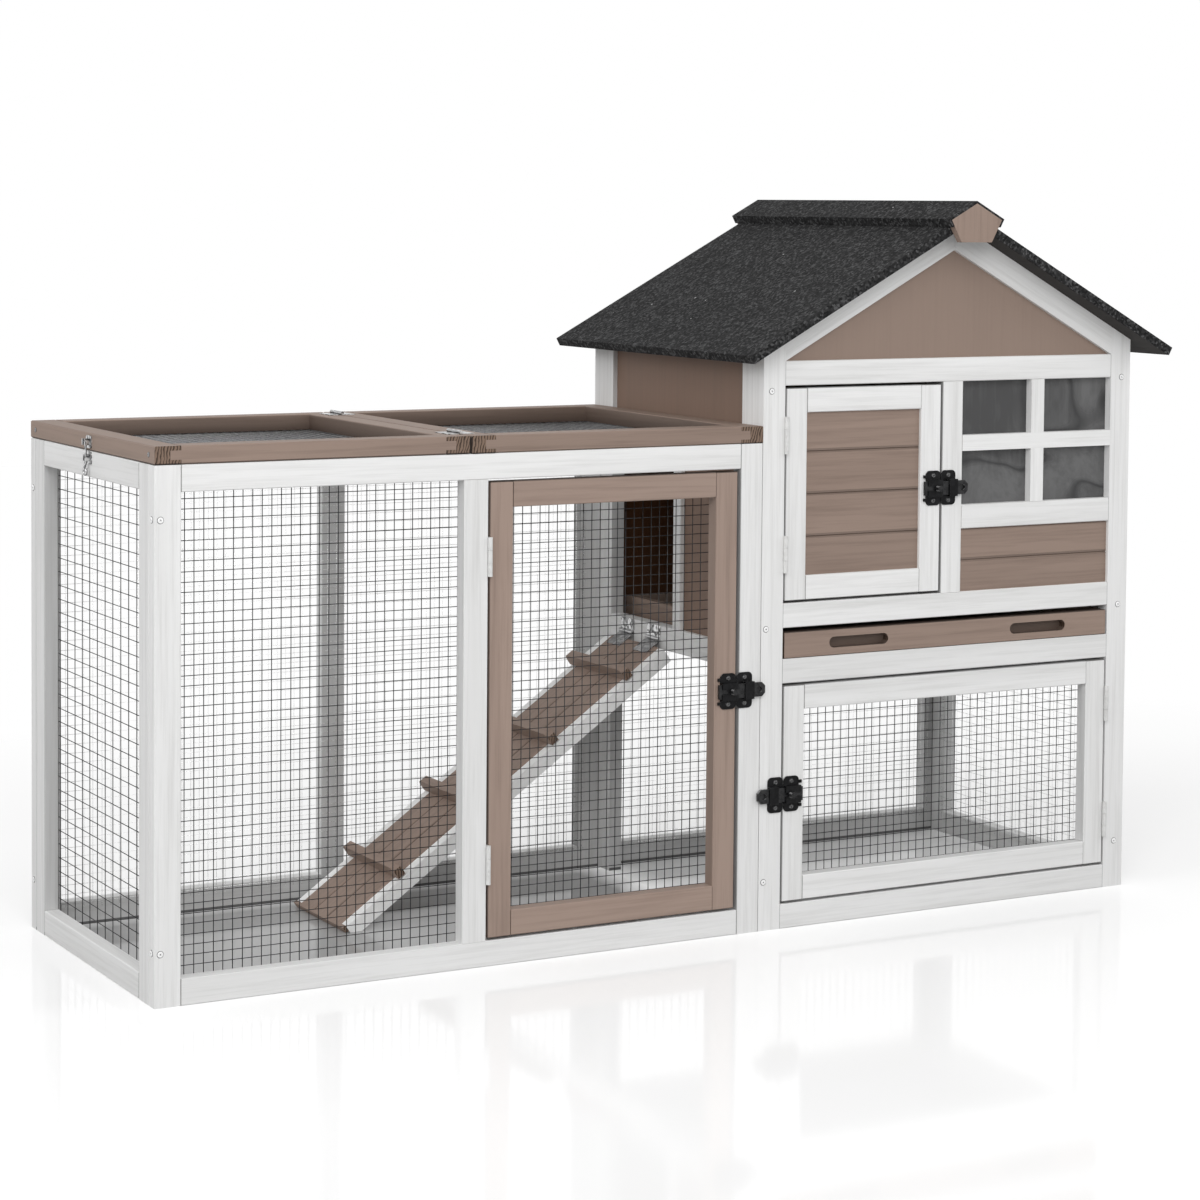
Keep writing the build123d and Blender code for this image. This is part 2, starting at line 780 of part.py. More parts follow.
# The two edges along the ramp on the upper side of a piece
def walking_edges(piece):
    along = piece.edges().filter_by(Axis((0, 0, 0), ramp_down))
    return along.sort_by(Axis((0, 0, 0), ramp_normal))[-2:]


ramp_boards = []
board_width = ramp_width / ramp_board_count
for index in range(ramp_board_count):
    with BuildPart() as plank:
        with BuildSketch(ramp_section(ramp_end_room)):
            with Locations(((index - (ramp_board_count - 1) / 2) * board_width, ramp_top + ramp_board / 2)):
                Rectangle(board_width - board_gap, ramp_board)
        extrude(amount=ramp_run - ramp_end_room - toe)
        chamfer(walking_edges(plank), groove_ease)
    ramp_boards.append(plank.part)
group("ramp_boards", ramp_boards)

ground = Plane.XY.offset(ramp_foot_clear)
battens = []
for hand in (-1, 1):
    batten_x = hand * (ramp_width + batten_width) / 2
    with BuildPart() as batten:
        with BuildSketch(ramp_section(ramp_end_room)):
            with Locations((batten_x, ramp_top + batten_drop + batten_depth / 2)):
                Rectangle(batten_width, batten_depth)
        extrude(amount=ramp_run - ramp_end_room - toe)
        split(bisect_by=ground, keep=Keep.TOP)
    battens.append(batten.part)
group("ramp_battens", battens)

cleat_length = ramp_width + 2 * batten_width
cleats = []
for index in range(cleat_count):
    with BuildPart() as cleat:
        with BuildSketch(ramp_section(cleat_first + index * cleat_pitch)):
            with Locations((0, ramp_top - cleat_height / 2)):
                Rectangle(cleat_length, cleat_height)
        extrude(amount=cleat_thick)
        fillet(walking_edges(cleat), cleat_height / 2)
    cleats.append(cleat.part)
with BuildPart() as toe_strip:
    with BuildSketch(ramp_section(ramp_run - toe)):
        with Locations((0, ramp_top + ramp_board / 2)):
            Rectangle(cleat_length, ramp_board)
    extrude(amount=toe)
group("ramp_cleats", cleats + [toe_strip.part])


# A door frame and the opening inside it
def door_frame(x, z):
    open_x = (x[0] + door_stile, x[1] - door_stile)
    open_z = (z[0] + rail, z[1] - rail)
    uprights = [timber((x[0], open_x[0]), front_y, z), timber((open_x[1], x[1]), front_y, z)]
    crosses = [timber(open_x, front_y, (z[0], open_z[0])), timber(open_x, front_y, (open_z[1], z[1]))]
    return uprights, crosses, open_x, open_z


def door_net(open_x, open_z):
    x = lapped(open_x)
    z = lapped(open_z)
    return wire_net(net_behind(x, front_y[1], z), size(x), size(z))


def hinge_heights(z, inset):
    return (z[0] + inset, z[1] - inset)


# Run door, hinged on the run's middle upright
run_door_x = (mid_stile_x[1] + door_gap, right_stile_x[0] - run_door_side_gap)
run_door_z = (run_open_z[0] + door_end_gap, run_open_z[1] - door_end_gap)
uprights, crosses, door_open_x, door_open_z = door_frame(run_door_x, run_door_z)
run_pin_x = mid_stile_x[1] + door_gap / 2
run_hinge_z = hinge_heights(run_door_z, door_hinge_inset)
run_bolt_z = middle(run_door_z)
group("run_door_stiles", uprights)
group("run_door_rails", crosses)
group("run_door_mesh", [door_net(door_open_x, door_open_z)])
group("run_door_leaves", door_leaves(run_pin_x, run_hinge_z, False, 1))
group("run_bolt_base", [bolt_base(run_door_x[1], run_bolt_z, 1)])
group("run_bolt", [bolt_bar(run_door_x[1], run_bolt_z, 1)])

# Lower door, hinged on the house's right upright
lower_door_x = (house_open_x[0] + door_side_gap, house_open_x[1] - door_gap)
lower_door_z = (rail + door_end_gap, tray_rail_z[0] - door_end_gap)
uprights, crosses, door_open_x, door_open_z = door_frame(lower_door_x, lower_door_z)
lower_pin_x = house_open_x[1] - door_gap / 2
lower_bolt_z = middle(lower_door_z)
lower_hinge_z = hinge_heights(lower_door_z, house_hinge_inset)
group("lower_door_stiles", uprights)
group("lower_door_rails", crosses)
group("lower_door_mesh", [door_net(door_open_x, door_open_z)])
group("lower_door_leaves", door_leaves(lower_pin_x, lower_hinge_z, False, -1))
group("lower_bolt_base", [bolt_base(lower_door_x[0], lower_bolt_z, -1)])
group("lower_bolt", [bolt_bar(lower_door_x[0], lower_bolt_z, -1)])

# Upper door, hinged on the house's left upright, its boards held in a groove
upper_door_x = (house_open_x[0] + door_gap, centre_x[0] - door_side_gap)
upper_door_z = (over_rail_z[1] + door_end_gap, top_rail_z[0] - door_end_gap)
uprights, crosses, door_open_x, door_open_z = door_frame(upper_door_x, upper_door_z)
board_x = (door_open_x[0] - panel_groove, door_open_x[1] + panel_groove)
board_z = (door_open_z[0] - panel_groove, door_open_z[1] + panel_groove)
groove = timber(board_x, span(y_front + panel_recess, panel_thick), board_z, 0)
grooved = []
for pieces in (uprights, crosses):
    cut_pieces = []
    for frame_piece in pieces:
        with BuildPart() as cut_piece:
            add(frame_piece)
            add(groove, mode=Mode.SUBTRACT)
        cut_pieces.append(cut_piece.part)
    grooved.append(cut_pieces)
upper_pin_x = house_open_x[0] + door_gap / 2
upper_hinge_z = hinge_heights(upper_door_z, house_hinge_inset)
upper_bolt_z = middle(upper_door_z)
group("upper_door_stiles", grooved[0])
group("upper_door_rails", grooved[1])
group("upper_door_boards", shiplap(board_x, board_z, y_front + panel_recess, upper_board_count))
group("upper_door_leaves", door_leaves(upper_pin_x, upper_hinge_z, False, 1))
group("upper_bolt_base", [bolt_base(upper_door_x[1], upper_bolt_z, 1)])
group("upper_bolt", [bolt_bar(upper_door_x[1], upper_bolt_z, 1)])

# What the doors leave on the frame: fixed leaves and keepers
fixed_leaves = door_leaves(run_pin_x, run_hinge_z, True, 1)
fixed_leaves += door_leaves(upper_pin_x, upper_hinge_z, True, 1)
fixed_leaves += door_leaves(lower_pin_x, lower_hinge_z, True, -1)
group("door_hinge_leaves", fixed_leaves)
keepers = [
    bolt_keeper(run_door_x[1], run_bolt_z, 1),
    bolt_keeper(upper_door_x[1], upper_bolt_z, 1),
    bolt_keeper(lower_door_x[0], lower_bolt_z, -1),
]
group("bolt_keepers", keepers)

# Tray, sliding on its runners through the slot in the front
tray_x = (house_open_x[0] + door_side_gap, house_open_x[1] - door_side_gap)
tray_z = span(tray_rail_z[1] + tray_clear, tray_front_height)
tray_y = (front_y[1], back_y[0] - tray_end_room)
floor_z = span(tray_z[0] + tray_floor_rise, tray_floor_thick)
tray_inner_x = (tray_x[0] + tray_wall, tray_x[1] - tray_wall)
tray_inner_y = (tray_y[0], tray_y[1] - tray_wall)
floor_x = (tray_inner_x[0] - tray_groove, tray_inner_x[1] + tray_groove)
floor_y = (tray_inner_y[0] - tray_groove, tray_inner_y[1] + tray_groove)
floor_sheet = timber(floor_x, floor_y, floor_z, 0)
grip_plane = Plane(origin=(middle(tray_x), y_front, middle(tray_z)), x_dir=(1, 0, 0), z_dir=(0, 1, 0))
grip_spread = size(tray_x) - 2 * grip_inset
with BuildPart() as tray_front:
    add(timber(tray_x, front_y, tray_z))
    add(floor_sheet, mode=Mode.SUBTRACT)
    with BuildSketch(grip_plane):
        with GridLocations(grip_spread, 1, 2, 1):
            SlotOverall(grip_length, grip_height)
    extrude(amount=grip_depth, mode=Mode.SUBTRACT)
keep(tray_front.part, "tray_front")
tray_sides = []
for side_x in ((tray_x[0], tray_inner_x[0]), (tray_inner_x[1], tray_x[1])):
    with BuildPart() as tray_side:
        add(timber(side_x, tray_y, tray_z, 0))
        add(floor_sheet, mode=Mode.SUBTRACT)
    tray_sides.append(tray_side.part)
group("tray_sides", tray_sides)
with BuildPart() as tray_back:
    add(timber(tray_inner_x, (tray_inner_y[1], tray_y[1]), tray_z, 0))
    add(floor_sheet, mode=Mode.SUBTRACT)
keep(tray_back.part, "tray_back")
group("tray_floor", [floor_sheet])


# Hook on the left end: plates with two lugs, and a bent wire between them
def lugged_plate(height, lug_inside, reach, hole):
    plane = Plane(origin=(x_left, 0, height), x_dir=(0, 1, 0), z_dir=(-1, 0, 0))
    lug_at = lug_inside + lug / 2
    with BuildPart() as plate:
        with BuildSketch(plane):
            RectangleRounded(hook_plate_width, hook_plate_height, hook_plate_height / 4)
        extrude(amount=hook_plate_thick)
        with BuildSketch(plane):
            with Locations((-lug_at, 0), (lug_at, 0)):
                Rectangle(lug, hook_plate_height / 2)
        extrude(amount=reach)
        if hole:
            with BuildSketch(Plane.XZ.offset(-hook_plate_width / 2)):
                with Locations((x_left - hook_stand, height)):
                    Circle(hole)
            extrude(amount=hook_plate_width, mode=Mode.SUBTRACT)
    return plate.part


hook_height = middle((run_height + lid_clear, lid_top))
staple_inside = 2 * wire
hook_staple = lugged_plate(hook_height, staple_inside, hook_reach, hook_pin + pin_fit)
group("lid_fittings", lid_leaves + [hook_staple])
hook_plate_z = run_height - hook_plate_height / 2 - lid_clear
hook_plate = lugged_plate(hook_plate_z, staple_inside, hook_stand + wire, 0)
group("zinc_fittings", lid_fixed_leaves + ramp_fixed_leaves + [hook_plate])
wire_plane = Plane(origin=(x_left - hook_stand, 0, hook_height), x_dir=(0, 1, 0), z_dir=(1, 0, 0))
with BuildPart() as hook:
    with BuildLine(wire_plane) as hook_path:
        stem = Line((0, 0), (0, -hook_drop))
        sway = JernArc(stem @ 1, stem % 1, hook_bend, hook_sway)
        back = JernArc(sway @ 1, sway % 1, hook_bend, -hook_sway)
        JernArc(back @ 1, back % 1, hook_curl, -hook_turn)
    with BuildSketch(Plane(origin=wire_plane.origin, z_dir=(0, 0, -1))):
        Circle(wire)
    sweep(path=hook_path.line)
    with BuildSketch(Plane.XZ.offset(-hook_plate_width / 3)):
        with Locations((x_left - hook_stand, hook_height)):
            Circle(hook_pin)
    extrude(amount=2 * hook_plate_width / 3)
keep(hook.part, "hook")

# Screw heads on the front and on the left end
screw_heights = (2 * rail, run_height - 2 * rail)
house_screw_z = (2 * rail, over_rail_z[0], top_rail_z[0])
front_spots = [(x_left + screw_edge / 2, z) for z in screw_heights]
front_spots += [(x_seam + screw_edge / 2, z) for z in house_screw_z[:2]]
front_spots += [(x_right - screw_edge, z) for z in house_screw_z]
end_spots = [(y, z) for y in (middle(front_y), middle(back_y)) for z in screw_heights]
front_face = Plane(origin=(0, y_front, 0), x_dir=(1, 0, 0), z_dir=(0, -1, 0))
end_face = Plane(origin=(x_left, 0, 0), x_dir=(0, -1, 0), z_dir=(-1, 0, 0))
with BuildPart() as screws:
    with BuildSketch(front_face):
        with Locations(*front_spots):
            Circle(screw_radius)
    extrude(amount=screw_proud)
    with BuildSketch(end_face):
        with Locations(*[(-y, z) for y, z in end_spots]):
            Circle(screw_radius)
    extrude(amount=screw_proud)
keep(screws.part, "screws")
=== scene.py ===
import math
import random

import bmesh
import bpy
from mathutils import Matrix, Vector


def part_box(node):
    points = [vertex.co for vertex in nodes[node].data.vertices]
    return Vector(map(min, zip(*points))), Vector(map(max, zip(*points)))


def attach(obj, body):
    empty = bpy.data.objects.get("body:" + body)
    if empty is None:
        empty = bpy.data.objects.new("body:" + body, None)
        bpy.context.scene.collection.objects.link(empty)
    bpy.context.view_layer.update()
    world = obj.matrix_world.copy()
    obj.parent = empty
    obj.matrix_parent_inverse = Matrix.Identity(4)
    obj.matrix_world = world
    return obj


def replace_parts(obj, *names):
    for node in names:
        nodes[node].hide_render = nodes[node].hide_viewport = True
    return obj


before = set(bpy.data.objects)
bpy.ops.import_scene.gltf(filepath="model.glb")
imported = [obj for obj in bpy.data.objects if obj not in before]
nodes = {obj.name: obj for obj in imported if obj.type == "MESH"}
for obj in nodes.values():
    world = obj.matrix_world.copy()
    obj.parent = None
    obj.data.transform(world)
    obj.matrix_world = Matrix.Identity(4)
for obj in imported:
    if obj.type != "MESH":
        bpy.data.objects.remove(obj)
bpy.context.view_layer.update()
print("hutch frame in:", len(nodes), "nodes")


# shader maths: a socket that adds Math nodes when it meets an operator
class Shade:
    def __init__(self, finish, socket):
        self.finish = finish
        self.socket = socket

    def math(self, operation, a, b):
        return self.finish.put("ShaderNodeMath", {"operation": operation}, {0: a, 1: b})

    def __add__(self, other): return self.math("ADD", self, other)
    def __radd__(self, other): return self.math("ADD", other, self)
    def __sub__(self, other): return self.math("SUBTRACT", self, other)
    def __rsub__(self, other): return self.math("SUBTRACT", other, self)
    def __mul__(self, other): return self.math("MULTIPLY", self, other)
    def __rmul__(self, other): return self.math("MULTIPLY", other, self)
    def __pow__(self, other): return self.math("POWER", self, other)
    def __rpow__(self, other): return self.math("POWER", other, self)
    def __gt__(self, other): return self.math("GREATER_THAN", self, other)
    def __lt__(self, other): return self.math("LESS_THAN", self, other)
    def __abs__(self): return self.math("ABSOLUTE", self, 0.0)


# the nodes of a material, or of the studio's air
class Finish:
    def __init__(self, owner, output, shader=None):
        self.owner = owner
        owner.use_nodes = True
        self.tree = owner.node_tree
        self.tree.nodes.clear()
        self.output = self.tree.nodes.new(output)
        if shader:
            self.shader = self.tree.nodes.new(shader)
            self.tree.links.new(self.shader.outputs[0], self.output.inputs[0])

    def put(self, kind, settings=None, sockets=None, out=0):
        node = self.tree.nodes.new(kind)
        for key, value in (settings or {}).items():
            if key == "stops":
                self.stops(node.color_ramp, value)
            else:
                setattr(node, key, value)
        for key, value in (sockets or {}).items():
            self.feed(node.inputs[key], value)
        return Shade(self, node.outputs[out])

    def stops(self, ramp, stops):
        first, last = ramp.elements
        first.position, last.position = stops[0][0], stops[-1][0]
        first.color, last.color = (*stops[0][1], 1), (*stops[-1][1], 1)
        for place, colour in stops[1:-1]:
            ramp.elements.new(place).color = (*colour, 1)

    def feed(self, socket, value):
        if isinstance(value, Shade):
            self.tree.links.new(value.socket, socket)
        elif socket.type == "RGBA" and len(value) == 3:
            socket.default_value = (*value, 1)
        else:
            socket.default_value = value

    def set(self, **values):
        for key, value in values.items():
            self.feed(self.shader.inputs[key.replace("_", " ")], value)

    def place(self):
        return self.put("ShaderNodeTexCoord", out="Object")

    def parts(self, vector):
        first = self.put("ShaderNodeSeparateXYZ", {}, {0: vector})
        return [Shade(self, socket) for socket in first.socket.node.outputs]

    def join(self, x, y, z):
        return self.put("ShaderNodeCombineXYZ", {}, {0: x, 1: y, 2: z})

    def noise(self, vector, scale, detail=2.0, roughness=0.5):
        sockets = {"Vector": vector, "Scale": scale, "Detail": detail, "Roughness": roughness}
        return self.put("ShaderNodeTexNoise", {}, sockets)

    def cells(self, vector, scale, out=0):
        return self.put("ShaderNodeTexVoronoi", {"feature": "F1"}, {"Vector": vector, "Scale": scale}, out)

    def ramp(self, value, stops):
        return self.put("ShaderNodeValToRGB", {"stops": stops}, {0: value})

    def span(self, value, low, high, toLow=0.0, toHigh=1.0):
        return self.put("ShaderNodeMapRange", {}, {0: value, 1: low, 2: high, 3: toLow, 4: toHigh})

    def mix(self, factor, a, b, blend="MIX"):
        settings = {"data_type": "RGBA", "blend_type": blend}
        return self.put("ShaderNodeMix", settings, {0: factor, 6: a, 7: b}, out=2)

    def bump(self, height, strength, distance):
        sockets = {"Height": height, "Strength": strength, "Distance": distance}
        self.set(Normal=self.put("ShaderNodeBump", {}, sockets))

    def plainView(self):  # seen straight on, in metal or through glass
        ways = ("Camera", "Glossy", "Transmission")
        seen, shiny, through = [self.put("ShaderNodeLightPath", out=f"Is {way} Ray") for way in ways]
        return self.put("ShaderNodeMath", {"operation": "MINIMUM"}, {0: seen + shiny + through, 1: 1.0})

    def close(self, shade):
        self.tree.links.new(shade.socket, self.output.inputs[0])


def surface(name):
    return Finish(bpy.data.materials.new(name), "ShaderNodeOutputMaterial", "ShaderNodeBsdfPrincipled")


# stained and white-washed timber; the grain runs along one axis or down a slope
woodLook = {
    "white": {"pale": (0.83, 0.83, 0.827), "streak": (0.60, 0.597, 0.585),
              "line": 0.62, "vary": 0.04, "rough": 0.6,
              "end": (0.66, 0.65, 0.63), "ring": (0.50, 0.49, 0.47), "back": 0.36},
    # paler white for the ramp battens: painted light on timber that lies in shade
    "batten": {"pale": (0.95, 0.95, 0.947), "streak": (0.75, 0.745, 0.735),
               "line": 0.5, "vary": 0.02, "rough": 0.6,
               "end": (0.80, 0.79, 0.77), "ring": (0.62, 0.61, 0.59)},
    "brown": {"pale": (0.305, 0.227, 0.186), "streak": (0.190, 0.137, 0.110),
              "line": 0.72, "vary": 0.06, "rough": 0.6,
              "end": (0.21, 0.143, 0.105), "ring": (0.030, 0.018, 0.012)},
    "door": {"pale": (0.355, 0.267, 0.222), "streak": (0.225, 0.164, 0.134),
             "line": 0.72, "vary": 0.04, "rough": 0.6,
             "end": (0.30, 0.21, 0.155), "ring": (0.10, 0.07, 0.05)},
    "gable": {"pale": (0.285, 0.212, 0.173), "streak": (0.235, 0.172, 0.139),
              "line": 0.32, "vary": 0.04, "rough": 0.6,
              "end": (0.20, 0.14, 0.10), "ring": (0.10, 0.07, 0.05), "inner": (0.078, 0.030, 0.011)},
    # darker brown for the walls: painted shade, a shaded copy of the gable's brown
    "wall": {"pale": (0.235, 0.158, 0.120), "streak": (0.17, 0.112, 0.083),
             "line": 0.4, "vary": 0.04, "rough": 0.6,
             "end": (0.20, 0.14, 0.10), "ring": (0.10, 0.07, 0.05), "inner": (0.078, 0.030, 0.011)},
    "roof": {"pale": (0.030, 0.027, 0.025), "streak": (0.018, 0.016, 0.015),
             "line": 0.5, "vary": 0.05, "rough": 0.8,
             "end": (0.03, 0.025, 0.02), "ring": (0.015, 0.012, 0.01)},
}
woodGrain = {"fine": 150.0, "broad": 26.0, "stretch": 0.035, "knots": 7.0, "rings": 0.0040, "apart": 37.0,
             "sheen": 0.3, "relief": 0.0006, "shade": (0.10, 0.10, 0.10), "foot": 0.004,
             "edge": 0.35, "well": (0.020, 0.011, 0.007), "wellDark": (0.88, 0.42),
             "warp": 9.0, "warpStretch": 0.12, "push": 0.02, "broadStretch": 0.05,
             "fineLine": (0.46, 0.68), "fineShare": 0.6, "broadLine": (0.42, 0.72), "broadShare": 0.55,
             "knotStretch": 0.42, "knotRim": (0.022, 0.075), "knotShare": 0.2, "knotRise": 0.4,
             "lining": 0.010, "innerLine": 0.4, "backFrom": 0.15, "footShadow": 0.6,
             "slant": 0.6, "wobble": 95.0, "wobblePush": 0.006, "ringLine": (-0.3, 0.9), "ringShare": 0.9,
             "gloss": 0.1, "ior": 1.45, "bump": 0.25}
houseLow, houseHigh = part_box("house_stiles")
ridgeX = (houseLow[0] + houseHigh[0]) / 2
roofTilt = math.radians(28.5)
rampTilt = math.radians(35.0)


def alongGrain(grain, x, y, z, run):
    if grain == "roof":
        level, drop = math.cos(roofTilt), math.sin(roofTilt)
        return run * level - z * drop, y, run * drop + z * level
    if grain == "ramp":
        level, drop = math.cos(rampTilt), math.sin(rampTilt)
        return x * level + z * drop, y, z * level - x * drop
    return {"x": (x, y, z), "y": (y, x, z), "z": (z, x, y)}[grain]


def timberFinish(name, look, grain, shadowSeams=(), wells=()):
    wood = surface(name)
    spot = wood.parts(wood.place())
    x, y, z = spot
    along, side, rise = alongGrain(grain, x, y, z, abs(x - ridgeX))
    piece = wood.put("ShaderNodeNewGeometry", out="Random Per Island")
    shift = piece * woodGrain["apart"]
    swept = wood.join(along * woodGrain["warpStretch"] + shift, side, rise)
    warp = wood.noise(swept, woodGrain["warp"], detail=1.0)
    drawn = wood.join(along * woodGrain["stretch"] + shift, side, rise)
    fine = wood.noise(drawn, woodGrain["fine"], detail=4.0, roughness=0.62)
    push = woodGrain["push"]
    bent = wood.join(along * woodGrain["broadStretch"] + shift, side + warp * push, rise + warp * push)
    broad = wood.noise(bent, woodGrain["broad"], detail=3.0, roughness=0.55)
    knotSpot = wood.cells(wood.join(along * woodGrain["knotStretch"] + shift, side, rise), woodGrain["knots"])
    knot = wood.span(knotSpot, *woodGrain["knotRim"], 1.0, 0.0)
    lines = wood.span(fine, *woodGrain["fineLine"]) * woodGrain["fineShare"]
    lines = lines + wood.span(broad, *woodGrain["broadLine"]) * woodGrain["broadShare"]
    tone = wood.mix(lines * look["line"] + knot * woodGrain["knotShare"], look["pale"], look["streak"])
    if "inner" in look:  # darker inside the house
        half = houseHigh[0] - ridgeX - woodGrain["lining"]
        inside = (abs(x - ridgeX) < half) * (abs(y) < houseHigh[1] - woodGrain["lining"])
        tone = wood.mix(inside, tone, wood.mix(lines * woodGrain["innerLine"], look["inner"], look["ring"]))
    nx, ny, nz = wood.parts(wood.put("ShaderNodeTexCoord", out="Normal"))
    if "back" in look:  # painted shade on the inner faces along the back, and a painted shadow at its foot
        paintedShadeAmount = look["back"] + (z < woodGrain["foot"]) * woodGrain["footShadow"]
        tone = wood.mix((ny < -0.5) * (y > woodGrain["backFrom"]) * paintedShadeAmount, tone, woodGrain["shade"])
    if grain != "roof":  # sawn ends show their rings
        cut = abs(alongGrain(grain, nx, ny, nz, nx)[0]) > 0.9
        slant = (piece - 0.5) * woodGrain["slant"]
        bend = wood.noise(wood.join(side, rise + shift, along), woodGrain["wobble"])
        wave = (side + rise * slant + bend * woodGrain["wobblePush"]) * (2 * math.pi / woodGrain["rings"])
        ring = wood.put("ShaderNodeMath", {"operation": "SINE"}, {0: wave})
        dark = wood.span(ring + (bend - 0.5) * 2.0, *woodGrain["ringLine"]) * woodGrain["ringShare"]
        tone = wood.mix(cut, tone, wood.mix(dark, look["end"], look["ring"]))
    facing = (abs(nx), abs(ny), abs(nz))
    for axis, value, width, depth in shadowSeams:  # shadow lines round doors, at joints and under lids
        near = abs(spot[axis] - value) < width
        paler = (facing[axis] > 0.7) * depth * woodGrain["edge"]
        tone = wood.mix(near * (depth - paler), tone, (0.0, 0.0, 0.0))
    for axis, value, width, low, high in wells:  # painted shade on the sides of the wells in the lids and in the tray's slots, darker lower down
        deep = (abs(spot[axis] - value) < width) * wood.span(z, low, high, *woodGrain["wellDark"])
        tone = wood.mix(deep, tone, woodGrain["well"])
    lift = 1.0 + (piece - 0.5) * 2.0 * look["vary"]
    tinted = wood.mix(1.0, tone, wood.join(lift, lift, lift), "MULTIPLY")
    wood.set(Base_Color=tinted, Roughness=look["rough"] - woodGrain["gloss"] * lines, IOR=woodGrain["ior"],
             Specular_IOR_Level=woodGrain["sheen"])
    wood.bump(lines + knot * woodGrain["knotRise"], woodGrain["bump"], woodGrain["relief"])
    return wood.owner


# which timber nodes take which grain
timberNodes = {
    ("white", "z"): ["run_stiles", "run_end_stiles", "house_stiles", "house_side_stiles", "window_mullion",
                     "upper_door_stiles", "lower_door_stiles"],
    ("white", "x"): ["run_rails", "house_rails", "window_crossbar", "upper_door_rails", "lower_door_rails"],
    ("white", "y"): ["run_end_rails", "house_side_rails", "tray_runners"],
    ("white", "roof"): ["rake_boards"],
    ("batten", "ramp"): ["ramp_battens"],
    ("brown", "x"): ["fixed_lid_rails", "lid_rails", "window_boards", "upper_door_boards", "tray_front",
                     "tray_back"],
    ("door", "x"): ["run_door_rails"],
    ("door", "z"): ["run_door_stiles"],
    ("gable", "z"): ["gable_panels"],
    ("wall", "z"): ["wall_panels"],
    ("brown", "y"): ["fixed_lid_sides", "lid_sides", "tray_sides", "ramp_cleats"],
    ("brown", "z"): ["ridge_blocks"],
    ("brown", "ramp"): ["ramp_boards"],
    ("roof", "y"): ["roof_boards"],
}


def dress(name, material):
    node = nodes[name]
    node.data.materials.clear()
    node.data.materials.append(material)


smoothing = {"weld": 0.00002, "crease": 0.45}


def joinFaces(name):
    nodes[name].modifiers.new("joinFaces", "WELD").merge_threshold = smoothing["weld"]


def creaseGroup():  # smooth rounds, crisp edges
    group = bpy.data.node_groups.new("creaseFaces", "GeometryNodeTree")
    for way in ("INPUT", "OUTPUT"):
        group.interface.new_socket("Geometry", in_out=way, socket_type="NodeSocketGeometry")
    enter, leave = group.nodes.new("NodeGroupInput"), group.nodes.new("NodeGroupOutput")
    plain = group.nodes.new("GeometryNodeRemoveAttribute")
    plain.inputs["Name"].default_value = "custom_normal"
    angle = group.nodes.new("GeometryNodeInputMeshEdgeAngle")
    steep = group.nodes.new("FunctionNodeCompare")
    steep.operation = "GREATER_THAN"
    steep.inputs[1].default_value = smoothing["crease"]
    group.links.new(angle.outputs[0], steep.inputs[0])
    last = plain.outputs["Geometry"]
    group.links.new(enter.outputs[0], plain.inputs["Geometry"])
    for domain, smooth in (("FACE", True), ("EDGE", False)):
        shade = group.nodes.new("GeometryNodeSetShadeSmooth")
        shade.domain = domain
        shade.inputs["Shade Smooth"].default_value = smooth
        group.links.new(last, shade.inputs[0])
        last = shade.outputs[0]
    group.links.new(steep.outputs[0], shade.inputs["Selection"])
    group.links.new(last, leave.inputs[0])
    return group


creases = creaseGroup()
# painted shadow lines, half width and depth of each, and the painted shade on the sides of wells
seamShadowLook = {"door": (0.0008, 0.8), "joint": (0.0007, 0.5), "under": (0.0016, 0.8), "parting": (0.0008, 0.95),
            "board": (0.0031, 0.34), "ramp": (0.0016, 0.8), "rail": (0.0007, 0.55), "upright": (0.0008, 0.8),
            "wall": (0.0011, 0.8), "net": (0.0014, 0.8)}
wellLook = {"timber": 0.034, "lid": 0.0007, "slot": 0.0095, "slotDrop": 0.02, "slotRise": 0.01}
seamShadowMarks, wellMarks = {}, {}
for door in ("run_door", "upper_door", "lower_door"):
    low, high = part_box(f"{door}_stiles")
    edges = [(axis, bound[axis], *seamShadowLook["door"]) for axis in (0, 2) for bound in (low, high)]
    ends = [(0, end[0], *seamShadowLook["joint"]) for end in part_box(f"{door}_rails")]
    seamShadowMarks[f"{door}_stiles"] = edges
    seamShadowMarks[f"{door}_rails"] = edges + ends
for lid in ("lid", "fixed_lid"):
    low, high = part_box(f"{lid}_sides")
    parting = high[0] if lid == "lid" else low[0]
    marks = [(2, low[2], *seamShadowLook["under"]), (0, parting, *seamShadowLook["parting"])]
    seamShadowMarks[f"{lid}_sides"] = seamShadowMarks[f"{lid}_rails"] = marks
    for part, axis in (("sides", 0), ("rails", 1)):
        faces = (low[axis] + wellLook["timber"], high[axis] - wellLook["timber"])
        wellMarks[f"{lid}_{part}"] = [(axis, face, wellLook["lid"], low[2], high[2]) for face in faces]
for boards, axis, count in (("upper_door_boards", 2, 4), ("window_boards", 2, 2), ("ramp_boards", 1, 3)):
    low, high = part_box(boards)
    joints = [low[axis] + (high[axis] - low[axis]) * step / count for step in range(1, count)]
    mark = seamShadowLook["ramp" if boards == "ramp_boards" else "board"]
    seamShadowMarks[boards] = [(axis, joint, *mark) for joint in joints]
for rails, axis in (("run_rails", 0), ("house_rails", 0), ("run_end_rails", 1)):
    seamShadowMarks[rails] = [(axis, end[axis], *seamShadowLook["rail"]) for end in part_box(rails)]
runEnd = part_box("run_rails")[1][0]
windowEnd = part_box("window_boards")[0][0] - wellLook["timber"]
seamShadowMarks["run_stiles"] = [(0, runEnd, *seamShadowLook["upright"]), (0, houseLow[0], *seamShadowLook["wall"])]
seamShadowMarks["house_stiles"] = [(0, windowEnd, *seamShadowLook["upright"])]
seamShadowMarks["run_end_stiles"] = [(0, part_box("run_end_stiles")[1][0], *seamShadowLook["net"])]
